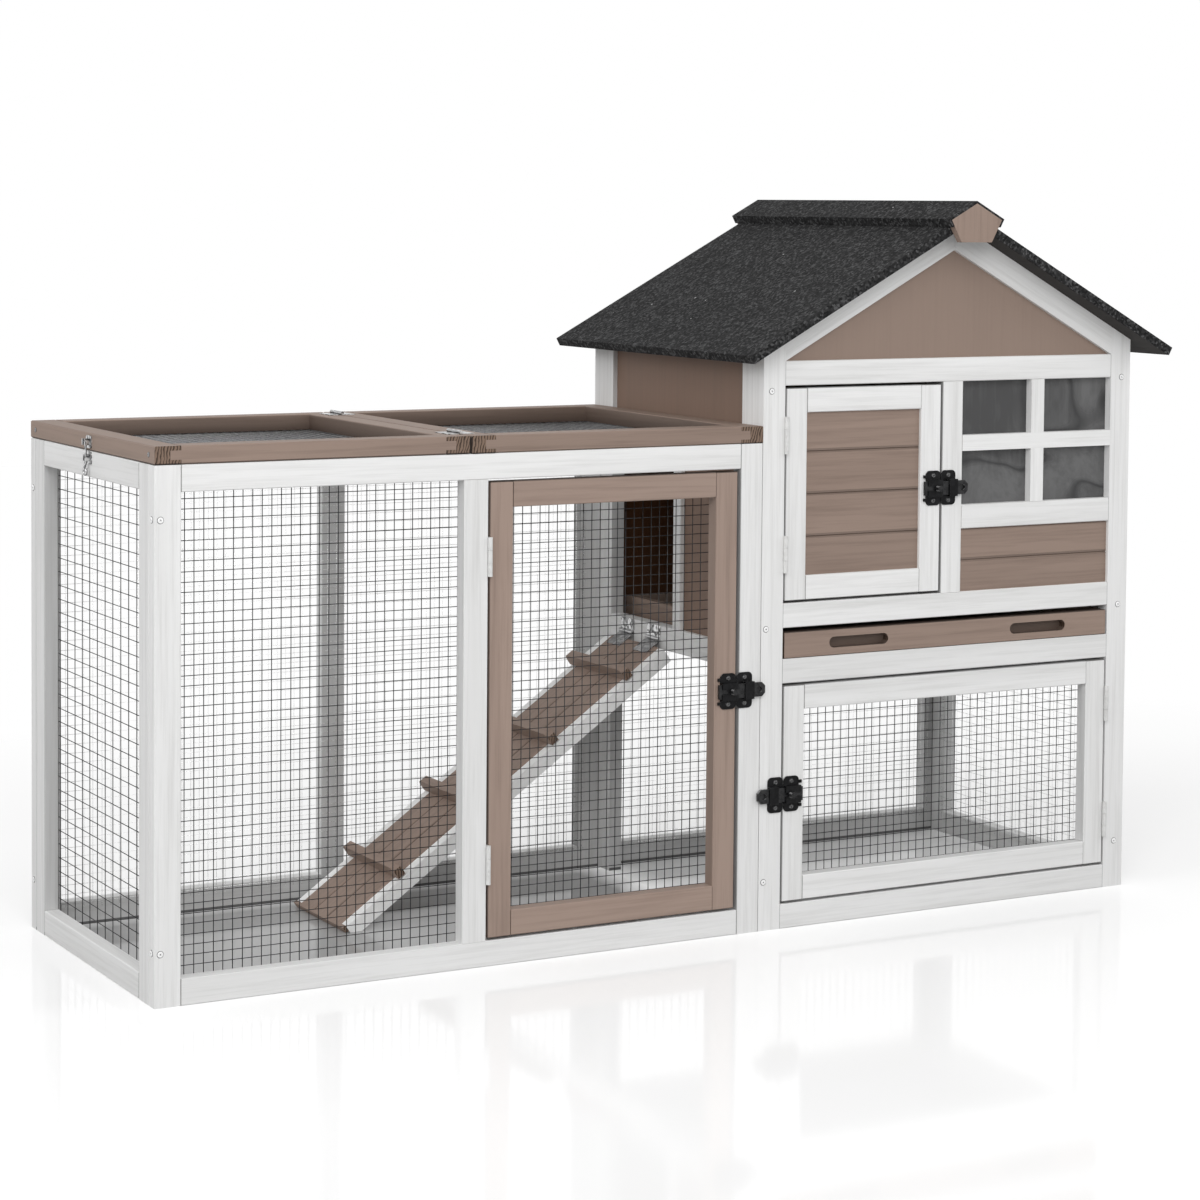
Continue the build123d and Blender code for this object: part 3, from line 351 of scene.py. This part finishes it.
low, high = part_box("tray_front")
seamShadowMarks["tray_front"] = [(2, high[2], *seamShadowLook["door"])]
slotSpan = low[2] - wellLook["slotDrop"], high[2] + wellLook["slotRise"]
wellMarks["tray_front"] = [(1, (low[1] + high[1]) / 2, wellLook["slot"], *slotSpan)]  # painted shade inside the finger slots

for (tone, grain), names in timberNodes.items():
    shared = timberFinish(f"{tone}Wood_{grain}", woodLook[tone], grain)
    for name in names:
        finish = shared
        if name in seamShadowMarks:
            marks = seamShadowMarks[name], wellMarks.get(name, ())
            finish = timberFinish(f"{tone}Wood_{name}", woodLook[tone], grain, *marks)
        dress(name, finish)
        joinFaces(name)  # one island for each board
        nodes[name].modifiers.new("creaseFaces", "NODES").node_group = creases
print("timber dressed")

# mineral roofing felt: dark granules with a few pale ones
feltLook = {"dark": (0.008, 0.008, 0.0083), "mid": (0.030, 0.030, 0.0305), "pale": (0.105, 0.105, 0.107),
            "fleck": (0.55, 0.55, 0.55), "grain": 320.0, "flecks": 22.0, "fleckSize": 0.035, "cloud": 38.0,
            "grainShare": 0.72, "cloudShare": 0.28, "steps": (0.22, 0.62, 0.92),
            "rough": 0.95, "sheen": 0.2, "bump": 0.5, "relief": 0.0012}


def feltFinish():
    felt = surface("roofFelt")
    spot = felt.place()
    shade = felt.parts(felt.cells(spot, feltLook["grain"], "Color"))[0]
    cloud = felt.noise(spot, feltLook["cloud"], detail=4.0, roughness=0.6)
    stops = list(zip(feltLook["steps"], (feltLook["dark"], feltLook["mid"], feltLook["pale"])))
    tone = felt.ramp(shade * feltLook["grainShare"] + cloud * feltLook["cloudShare"], stops)
    fleck = felt.cells(spot, feltLook["flecks"]) < feltLook["fleckSize"]
    felt.set(Base_Color=felt.mix(fleck, tone, feltLook["fleck"]), Roughness=feltLook["rough"],
             Specular_IOR_Level=feltLook["sheen"])
    felt.bump(shade, feltLook["bump"], feltLook["relief"])
    return felt.owner


dress("roof_felt", feltFinish())


# metals and sheet
metalLook = {
    "wire": {"colour": (0.022, 0.022, 0.023), "worn": (0.055, 0.055, 0.057),
             "metal": 0.5, "rough": 0.42, "scale": 260.0, "shine": 0.25},
    # the paler wires behind and on the lids are painted light, lit copies of the wire
    "backWirePaintedLight": {"colour": (0.94, 0.94, 0.94), "worn": (0.86, 0.86, 0.86),
                 "metal": 1.0, "rough": 0.22, "scale": 260.0, "shine": 0.5},
    "lidWire": {"colour": (0.19, 0.19, 0.195), "worn": (0.38, 0.38, 0.385),
                "metal": 0.4, "rough": 0.4, "scale": 260.0, "shine": 0.5},
    "black": {"colour": (0.004, 0.004, 0.0045), "worn": (0.012, 0.012, 0.013),
              "metal": 0.0, "rough": 0.34, "scale": 160.0, "shine": 0.12,
              "edge": (0.17, 0.17, 0.172)},
    "boltBlack": {"colour": (0.009, 0.009, 0.010), "worn": (0.030, 0.030, 0.031),
                  "metal": 0.0, "rough": 0.26, "scale": 160.0, "shine": 0.25,
                  "edge": (0.20, 0.20, 0.202)},
    "blackScrew": {"colour": (0.05, 0.05, 0.051), "worn": (0.18, 0.18, 0.182),
                   "metal": 0.9, "rough": 0.2, "scale": 420.0, "shine": 0.9},
    "whitePaint": {"colour": (0.72, 0.72, 0.71), "worn": (0.60, 0.60, 0.59),
                   "metal": 0.0, "rough": 0.45, "scale": 120.0, "shine": 0.5},
    "screwHead": {"colour": (0.97, 0.97, 0.97), "worn": (0.88, 0.88, 0.88),
                  "metal": 0.0, "rough": 0.3, "scale": 300.0, "shine": 0.5},
    # painted shade for the crosses and rims of screw heads
    "recessShade": {"colour": (0.03, 0.03, 0.032), "worn": (0.08, 0.08, 0.08),
               "metal": 0.0, "rough": 0.6, "scale": 300.0, "shine": 0.2},
    "tray": {"colour": (0.02, 0.02, 0.022), "worn": (0.045, 0.045, 0.048),
             "metal": 0.0, "rough": 0.5, "scale": 60.0, "shine": 0.4},
}
metalWearAndHighlight = {"worn": (0.42, 0.72), "corner": (0.80, 0.94), "dull": 0.15, "bump": 0.12, "relief": 0.0003}
# bands of painted reflection, light and dark by the way a face looks
zincLook = {"bands": [(0.0, (0.02, 0.02, 0.022)), (0.30, (0.25, 0.25, 0.255)), (0.42, (0.012, 0.012, 0.013)),
                      (0.50, (0.55, 0.55, 0.56)), (0.56, (0.02, 0.02, 0.021)), (0.62, (0.9, 0.9, 0.9)),
                      (0.68, (0.03, 0.03, 0.032)), (0.74, (0.9, 0.9, 0.9)), (0.82, (0.35, 0.35, 0.36)),
                      (1.0, (0.9, 0.9, 0.9))],
            "turn": (0.18, 0.13, 0.27), "blur": 0.5, "mottle": 75.0, "shade": 0.68, "bright": 0.3,
            "metal": 0.9, "rough": 0.24, "dull": 0.1}


def metalFinish(name):
    look = metalLook[name]
    metal = surface(name)
    mottle = metal.noise(metal.place(), look["scale"], detail=4.0, roughness=0.6)
    wear = metal.span(mottle, *metalWearAndHighlight["worn"])
    tone = metal.mix(wear, look["colour"], look["worn"])
    if "edge" in look:  # painted highlight where it turns a corner
        square = 0.0
        for part in metal.parts(metal.put("ShaderNodeTexCoord", out="Normal")):
            square = metal.put("ShaderNodeMath", {"operation": "MAXIMUM"}, {0: square, 1: abs(part)})
        tone = metal.mix(metal.span(square, *metalWearAndHighlight["corner"], 1.0, 0.0), tone, look["edge"])
    metal.set(Base_Color=tone, Metallic=look["metal"], Roughness=look["rough"] + wear * metalWearAndHighlight["dull"],
              Specular_IOR_Level=look["shine"])
    metal.bump(mottle, metalWearAndHighlight["bump"], metalWearAndHighlight["relief"])
    return metal.owner


def zincFinish():  # bright plating with painted reflections, banded by the way a face looks
    zinc = surface("zinc")
    nx, ny, nz = zinc.parts(zinc.put("ShaderNodeTexCoord", out="Normal"))
    mottle = zinc.noise(zinc.place(), zincLook["mottle"], detail=1.0)
    byX, byY, byZ = zincLook["turn"]
    turn = 0.5 + nz * byZ - nx * byX - ny * byY + (mottle - 0.5) * zincLook["blur"]
    shade = zincLook["shade"] + mottle * zincLook["bright"]
    tone = zinc.mix(1.0, zinc.ramp(turn, zincLook["bands"]), zinc.join(shade, shade, shade), "MULTIPLY")
    zinc.set(Base_Color=tone, Metallic=zincLook["metal"],
             Roughness=zincLook["rough"] + mottle * zincLook["dull"])
    return zinc.owner


metals = {name: metalFinish(name) for name in metalLook}
metals["zinc"] = zincFinish()
metalNodes = {
    "black": ["bolt_keepers", "run_bolt_base", "upper_bolt_base", "lower_bolt_base"],
    "boltBlack": ["run_bolt", "upper_bolt", "lower_bolt"],
    "whitePaint": ["door_hinge_leaves", "run_door_leaves", "upper_door_leaves", "lower_door_leaves"],
    "zinc": ["zinc_fittings", "lid_fittings", "hook", "ramp_hinge_leaves", "screws"],
    "tray": ["tray_floor"],
}
for finish, names in metalNodes.items():
    for name in names:
        dress(name, metals[finish])

boltEdge = {"width": 0.0006, "segments": 1, "limit_method": "ANGLE", "angle_limit": 0.7}
for name in metalNodes["black"] + metalNodes["boltBlack"]:
    joinFaces(name)
    ease = nodes[name].modifiers.new("easedEdges", "BEVEL")
    for key, value in boltEdge.items():
        setattr(ease, key, value)
    nodes[name].modifiers.new("creaseFaces", "NODES").node_group = creases

# dark sheet in the window: its tone is painted shade for the room behind, with paler cloudy bands and dull, dark
# fold lines
paneLook = {"paneShade": (0.072, 0.072, 0.073), "haze": (0.150, 0.150, 0.151),
            "line": (0.022, 0.022, 0.023), "alpha": 0.92, "rough": 0.25, "sheen": 0.25,
            "drift": 5.0, "sideways": 0.2, "upward": 0.25, "taller": 1.2, "bands": 6.5, "cloud": (0.30, 0.70),
            "film": 38.0, "filmAcross": 2.2, "filmUp": 0.7, "filmDrift": 0.5, "filmShare": 0.5,
            "foldAt": 0.52, "foldWide": 0.040, "foldDark": 0.7, "foldDull": 0.1}


def paneFinish():
    pane = surface("windowSheet")
    spot = pane.place()
    drift = pane.noise(spot, paneLook["drift"])
    x, y, z = pane.parts(spot)
    raised = z * paneLook["taller"] + drift * paneLook["upward"]
    bent = pane.join(x + drift * paneLook["sideways"], y, raised)
    bands = pane.noise(bent, paneLook["bands"], detail=1.0, roughness=0.35)
    fold = pane.span(abs(bands - paneLook["foldAt"]), 0.0, paneLook["foldWide"], 1.0, 0.0)
    raised = z * paneLook["filmUp"] + drift * paneLook["filmDrift"]
    smear = pane.join(x * paneLook["filmAcross"], y, raised)
    film = pane.noise(smear, paneLook["film"], detail=3.0, roughness=0.6)
    cloud = pane.span(bands + (film - 0.5) * paneLook["filmShare"], *paneLook["cloud"])
    haze = pane.mix(cloud, paneLook["paneShade"], paneLook["haze"])
    tone = pane.mix(fold * paneLook["foldDark"], haze, paneLook["line"])
    pane.set(Base_Color=tone, Roughness=paneLook["rough"] + fold * paneLook["foldDull"],
             Alpha=paneLook["alpha"], Specular_IOR_Level=paneLook["sheen"])
    return pane.owner


dress("window_pane", paneFinish())
print("metal, felt and window dressed")

# welded half-inch wire, coarser on the end, laid where each net lies
netWire = {"pitch": (0.0127, 0.0127), "endPitch": (0.0290, 0.0182), "radius": 0.00057, "thin": 0.00028,
           "sides": 6, "sway": 0.00035, "under": 1, "over": 3}


def wireRod(mesh, start, end, radius, sides, tone):
    way = (end - start).normalized()
    lean = way.orthogonal().normalized()
    across = way.cross(lean)
    rings = []
    for point in (start, end):
        turns = [2 * math.pi * side / sides for side in range(sides)]
        spokes = [lean * math.cos(turn) + across * math.sin(turn) for turn in turns]
        rings.append([mesh.verts.new(point + radius * spoke) for spoke in spokes])
    for side in range(sides):
        after = (side + 1) % sides
        face = mesh.faces.new((rings[0][side], rings[0][after], rings[1][after], rings[1][side]))
        face.smooth = True
        face.material_index = tone
    mesh.faces.new(rings[0][::-1]).material_index = tone
    mesh.faces.new(rings[1]).material_index = tone


def netRods(mesh, low, high, towards, tone, pitches):
    radius = netWire["thin"] if tone else netWire["radius"]
    size = high - low
    flat = min(range(3), key=lambda axis: size[axis])
    first, second = [axis for axis in range(3) if axis != flat]
    base = low[flat] if towards > 0 else high[flat]
    lays = (first, second, netWire["under"], pitches[0]), (second, first, netWire["over"], pitches[1])
    for axis, other, lift, pitch in lays:
        count = round(size[axis] / pitch)
        margin = (size[axis] - (count - 1) * pitch) / 2
        for index in range(count):
            start, end = Vector((0, 0, 0)), Vector((0, 0, 0))
            for point, far in ((start, low), (end, high)):
                sway = random.uniform(-1, 1) * netWire["sway"]
                point[axis] = low[axis] + margin + index * pitch + sway
                point[other] = far[other]
                point[flat] = base + towards * radius * lift
            wireRod(mesh, start, end, radius, netWire["sides"], tone)


def meshPiece(name, mesh, body, slot, *materials):
    data = bpy.data.meshes.new(name)
    mesh.to_mesh(data)
    mesh.free()
    piece = bpy.data.objects.new(name, data)
    bpy.context.scene.collection.objects.link(piece)
    for material in materials:
        data.materials.append(material)
    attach(piece, body)
    return piece


def layNet(name, node, body, spans, *wires):
    random.seed(name)
    mesh = bmesh.new()
    for low, high, towards, tone, pitches in spans:
        netRods(mesh, Vector(low), Vector(high), towards, tone, netWire[pitches])
    piece = meshPiece(name, mesh, body, "wire_mesh", *[metals[wire] for wire in wires])
    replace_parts(piece, node)


def nodeSpan(node, towards):
    low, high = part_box(node)
    return (low, high, towards, 0, "pitch")


wallNet = {"lap": 0.010, "rail": 0.033, "plank": 0.020, "sheet": 0.001}
lap, rail, plank, sheet = wallNet.values()
endLow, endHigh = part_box("run_end_rails")
runLow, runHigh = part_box("run_rails")
beamLow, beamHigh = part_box("house_rails")
sideLow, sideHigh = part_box("house_side_rails")
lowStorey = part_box("tray_runners")[1][2] - rail  # underside of the rail below the tray
backFace, sideFace = runHigh[1] - plank, sideHigh[0] - plank
runFoot, runHead = rail - lap, runHigh[2] - rail + lap
houseFoot, houseHead = rail - lap, lowStorey + lap
wallSpans = [
    ((endHigh[0], endLow[1] - lap, runFoot), (endHigh[0] + sheet, endHigh[1] + lap, runHead), 1, 0, "endPitch"),
    ((runLow[0] - lap, backFace - sheet, runFoot), (runHigh[0] + lap, backFace, runHead), -1, 1, "pitch"),
    ((sideFace - sheet, sideLow[1] - lap, houseFoot), (sideFace, sideHigh[1] + lap, houseHead), -1, 1, "pitch"),
    ((beamLow[0] - lap, backFace - sheet, houseFoot), (beamHigh[0] + lap, backFace, houseHead), -1, 1, "pitch"),
]  # the nets behind are finer, and their paler wire is painted light
layNet("wallWire", "wall_mesh", "frame", wallSpans, "wire", "backWirePaintedLight")
layNet("runFrontWire", "run_front_mesh", "frame", [nodeSpan("run_front_mesh", 1)], "wire")
# the lids' paler wire is painted light, a lit copy of the front wire
layNet("fixedLidWire", "fixed_lid_mesh", "frame", [nodeSpan("fixed_lid_mesh", -1)], "lidWire")
layNet("lidWire", "lid_mesh", "lid", [nodeSpan("lid_mesh", -1)], "lidWire")
layNet("runDoorWire", "run_door_mesh", "run_door", [nodeSpan("run_door_mesh", 1)], "wire")
layNet("lowerDoorWire", "lower_door_mesh", "lower_door", [nodeSpan("lower_door_mesh", 1)], "wire")
print("wire laid")

# screw heads with a cross in them
screwCuts = {"sides": 24, "arms": 4, "plain": 4, "cross": 0.75, "reach": 0.4, "apart": 0.004,
             "rings": ((1.0, 0.0), (0.86, 0.4), (0.78, 0.9), (0.64, 1.0), (0.5, 1.0), (0.3, 1.0), (0.12, 1.0))}
faceOut, endOut = Vector((0, -1, 0)), Vector((-1, 0, 0))


def screwHead(mesh, centre, outward, radius, height):
    lean = outward.orthogonal().normalized()
    across = outward.cross(lean)
    sides = screwCuts["sides"]
    quarter = sides // screwCuts["arms"]
    turn = random.uniform(0, math.pi / 2)
    rings = []
    for reach, lift in screwCuts["rings"]:
        ring = []
        for side in range(sides):
            angle = 2 * math.pi * side / sides
            arm = reach < screwCuts["reach"] and side % quarter == 0
            sunk = screwCuts["cross"] if arm else 0.0
            flat = lean * math.cos(angle + turn) + across * math.sin(angle + turn)
            ring.append(mesh.verts.new(centre + flat * radius * reach + outward * height * (lift - sunk)))
        rings.append(ring)
    middle = mesh.verts.new(centre + outward * height * (1 - screwCuts["cross"]))
    for step, (outer, inner) in enumerate(zip(rings, rings[1:])):
        for side in range(sides):
            after = (side + 1) % sides
            face = mesh.faces.new((outer[side], outer[after], inner[after], inner[side]))
            face.smooth = True
            arm = 0 in (side % quarter, after % quarter)
            # the rim ring and the cross take the second material, painted shade
            face.material_index = int(step == 0 or step > screwCuts["plain"] and arm)
    for side in range(sides):
        mesh.faces.new((rings[-1][side], rings[-1][(side + 1) % sides], middle)).material_index = 1


def spotsOf(node, reach):  # middles of a node's separate solids
    groups = []
    for vertex in nodes[node].data.vertices:
        near = [group for group in groups if any((vertex.co - other).length < reach for other in group)]
        merged = [vertex.co.copy()] + [point for group in near for point in group]
        groups = [group for group in groups if group not in near] + [merged]
    spots = []
    for group in groups:
        low = Vector([min(point[axis] for point in group) for axis in range(3)])
        high = Vector([max(point[axis] for point in group) for axis in range(3)])
        spots.append((low, high))
    return spots


frameScrews = {"radius": 0.0044, "height": 0.0011}
topScrew = {"inset": 0.013, "rise": 0.727}  # at the top of the house's left upright
random.seed(4)
screwMesh = bmesh.new()
for low, high in spotsOf("screws", screwCuts["apart"]):
    size, middle = high - low, (low + high) / 2
    if size.y < size.x:
        screwHead(screwMesh, Vector((middle.x, high.y, middle.z)), faceOut, **frameScrews)
    else:
        screwHead(screwMesh, Vector((high.x, middle.y, middle.z)), endOut, **frameScrews)
topSpot = Vector((houseLow[0] + topScrew["inset"], houseLow[1], topScrew["rise"]))
screwHead(screwMesh, topSpot, faceOut, **frameScrews)
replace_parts(meshPiece("frameScrews", screwMesh, "frame", "zinc", metals["screwHead"], metals["recessShade"]), "screws")

# screws into the lid's corners from its outer end
lidScrews = {"radius": 0.0034, "height": 0.0009, "inset": 0.020}
lidLow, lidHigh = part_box("lid_sides")
screwMesh = bmesh.new()
for y in (lidLow[1] + lidScrews["inset"], lidHigh[1] - lidScrews["inset"]):
    spot = Vector((lidLow[0], y, (lidLow[2] + lidHigh[2]) / 2))
    screwHead(screwMesh, spot, endOut, lidScrews["radius"], lidScrews["height"])
meshPiece("lidScrews", screwMesh, "lid", "zinc", metals["lidWire"], metals["recessShade"])

# black screws that hold the bolts' plates, two on each
boltScrews = {"radius": 0.0036, "height": 0.0016, "spread": 0.0172, "plate": 0.0015,
              "baseMid": 0.012, "keeperMid": 0.0132}
blackScrews = metals["blackScrew"], metals["recessShade"]
keeperMesh = bmesh.new()
for door, throw in (("run", 1), ("upper", 1), ("lower", -1)):
    low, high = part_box(f"{door}_bolt_base")
    edge = high[0] if throw > 0 else low[0]
    face = high[1] - boltScrews["plate"]
    middle = (low[2] + high[2]) / 2
    head = {"radius": boltScrews["radius"], "height": boltScrews["height"]}
    baseMesh = bmesh.new()
    for step in (-1, 1):
        height = middle + step * boltScrews["spread"]
        baseSpot = Vector((edge - throw * boltScrews["baseMid"], face, height))
        keeperSpot = Vector((edge + throw * boltScrews["keeperMid"], face, height))
        screwHead(baseMesh, baseSpot, faceOut, **head)
        screwHead(keeperMesh, keeperSpot, faceOut, **head)
    meshPiece(f"{door}BoltScrews", baseMesh, f"{door}_door", "black_metal", *blackScrews)
meshPiece("keeperScrews", keeperMesh, "frame", "black_metal", *blackScrews)
print("screws in")

# pale floor that keeps the shadow, with painted shade inside the run and the house, and white behind it
studio = {"floor": 14.0, "paper": (0.9, 0.9, 0.9), "bounce": (0.5, 0.5, 0.5), "floorShade": (0.38, 0.38, 0.38),
          "least": 0.25, "mirror": 0.18, "dull": 0.08,
          "around": 0.52, "reach": (1.5, 1.1), "fade": (0.7, 2.4), "behind": 0.5, "behindFrom": (0.25, 0.7),
          "soft": 0.05, "inRun": 0.92, "inHouse": (0.08, 0.60)}


def floorFinish():
    paper = surface("studioFloor")
    glow = paper.put("ShaderNodeEmission", {}, {"Color": (1, 1, 1), "Strength": studio["least"]})
    white = paper.put("ShaderNodeEmission", {}, {"Color": (1, 1, 1), "Strength": 1.0})
    matt = paper.put("ShaderNodeBsdfDiffuse", {}, {"Color": studio["paper"]})
    gloss = paper.put("ShaderNodeBsdfGlossy", {}, {"Color": (1, 1, 1), "Roughness": studio["dull"]})
    x, y, z = paper.parts(paper.place())
    away = (x * (1 / studio["reach"][0])) ** 2.0 + (y * (1 / studio["reach"][1])) ** 2.0
    far = paper.span(away, *studio["fade"])
    far = far + (1.0 - far) * paper.span(y, *studio["behindFrom"], 0.0, studio["behind"])
    # painted shade on the floor inside the run, and inside the house darker towards the back
    floorShade = paper.put("ShaderNodeBsdfDiffuse", {}, {"Color": studio["floorShade"]})
    midX, halfX = (endLow[0] + houseLow[0]) / 2, (houseLow[0] - endLow[0]) / 2
    halfY, halfHouse, soft = houseHigh[1], houseHigh[0] - ridgeX, studio["soft"]
    under = paper.span(abs(x - midX), halfX - soft, halfX, 1.0, 0.0)
    under = under * paper.span(abs(y), halfY - soft, halfY, 1.0, 0.0)
    beneath = paper.span(abs(x - ridgeX), halfHouse - soft, halfHouse, 1.0, 0.0)
    beneath = beneath * paper.span(y, -halfY, halfY, *studio["inHouse"])
    lit = paper.put("ShaderNodeAddShader", {}, {0: glow, 1: matt})
    paintedShadeAmount = under * studio["inRun"] + beneath * (abs(y) < halfY)
    shaded = paper.put("ShaderNodeMixShader", {}, {0: paintedShadeAmount, 1: lit, 2: floorShade})
    faded = paper.put("ShaderNodeMixShader", {}, {0: far, 1: shaded, 2: white})
    mirrored = paper.put("ShaderNodeMixShader", {}, {0: studio["mirror"], 1: faded, 2: gloss})
    bounce = paper.put("ShaderNodeBsdfDiffuse", {}, {"Color": studio["bounce"]})
    paper.close(paper.put("ShaderNodeMixShader", {}, {0: paper.plainView(), 1: bounce, 2: mirrored}))
    paper.tree.nodes.remove(paper.shader)
    return paper.owner


def layFloor():
    half = studio["floor"] / 2
    data = bpy.data.meshes.new("studioFloor")
    corners = [(-half, -half, 0), (half, -half, 0), (half, half, 0), (-half, half, 0)]
    data.from_pydata(corners, [], [(0, 1, 2, 3)])
    floor = bpy.data.objects.new("studioFloor", data)
    bpy.context.scene.collection.objects.link(floor)
    data.materials.append(floorFinish())


def lightWorld():
    bpy.context.scene.world = bpy.data.worlds.new("studioAir")
    air = Finish(bpy.context.scene.world, "ShaderNodeOutputWorld")
    light = air.put("ShaderNodeBackground", {}, {"Color": (1, 1, 1), "Strength": studio["around"]})
    white = air.put("ShaderNodeBackground", {}, {"Color": (1, 1, 1), "Strength": 1.0})
    air.close(air.put("ShaderNodeMixShader", {}, {0: air.plainView(), 1: light, 2: white}))


lamps = {
    "frontSoftbox": {"at": (-1.7, -3.5, 2.7), "aim": (0.1, 0, 0.45), "size": 2.6, "watts": 81.0},
    "lowSoftbox": {"at": (-0.4, -3.8, 0.9), "aim": (0.2, 0, 0.6), "size": 1.6, "watts": 8.0},
    "rightSoftbox": {"at": (3.0, -2.2, 2.2), "aim": (0.2, 0, 0.5), "size": 2.2, "watts": 26.0},
    "leftSoftbox": {"at": (-3.6, -0.5, 1.9), "aim": (-0.3, 0, 0.5), "size": 1.8, "watts": 28.0},
}


def hangLamps():
    for name, lamp in lamps.items():
        data = bpy.data.lights.new(name, "AREA")
        data.energy = lamp["watts"]
        data.size = lamp["size"]
        light = bpy.data.objects.new(name, data)
        bpy.context.scene.collection.objects.link(light)
        aim = Vector(lamp["aim"]) - Vector(lamp["at"])
        turn = aim.to_track_quat("-Z", "Y").to_matrix().to_4x4()
        light.matrix_world = Matrix.Translation(lamp["at"]) @ turn


# camera fitted to the photograph: almost level, from the front left, frame slid downwards
shot = {"at": (-1.263, -3.3891, 0.9757), "yaw": 28.884, "pitch": -2.989, "roll": 0.469, "lens": 90.12,
        "sensor": 36.0, "far": 60.0, "shift": (0.0, -0.2)}


def setCamera():
    data = bpy.data.cameras.new("shot")
    data.sensor_width = shot["sensor"]
    data.lens = shot["lens"]
    data.shift_x, data.shift_y = shot["shift"]
    data.clip_end = shot["far"]
    camera = bpy.data.objects.new("shot", data)
    bpy.context.scene.collection.objects.link(camera)
    corner = Vector((endLow[0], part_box("run_stiles")[0][1], 0))  # front left foot of the run
    turn = Matrix.Rotation(math.radians(-shot["yaw"]), 4, "Z")
    turn = turn @ Matrix.Rotation(math.radians(90 + shot["pitch"]), 4, "X")
    turn = turn @ Matrix.Rotation(math.radians(shot["roll"]), 4, "Z")
    camera.matrix_world = Matrix.Translation(corner + Vector(shot["at"])) @ turn
    bpy.context.scene.camera = camera


layFloor()
lightWorld()
hangLamps()
setCamera()
bpy.context.scene.view_settings.view_transform = "Standard"
print("studio set")
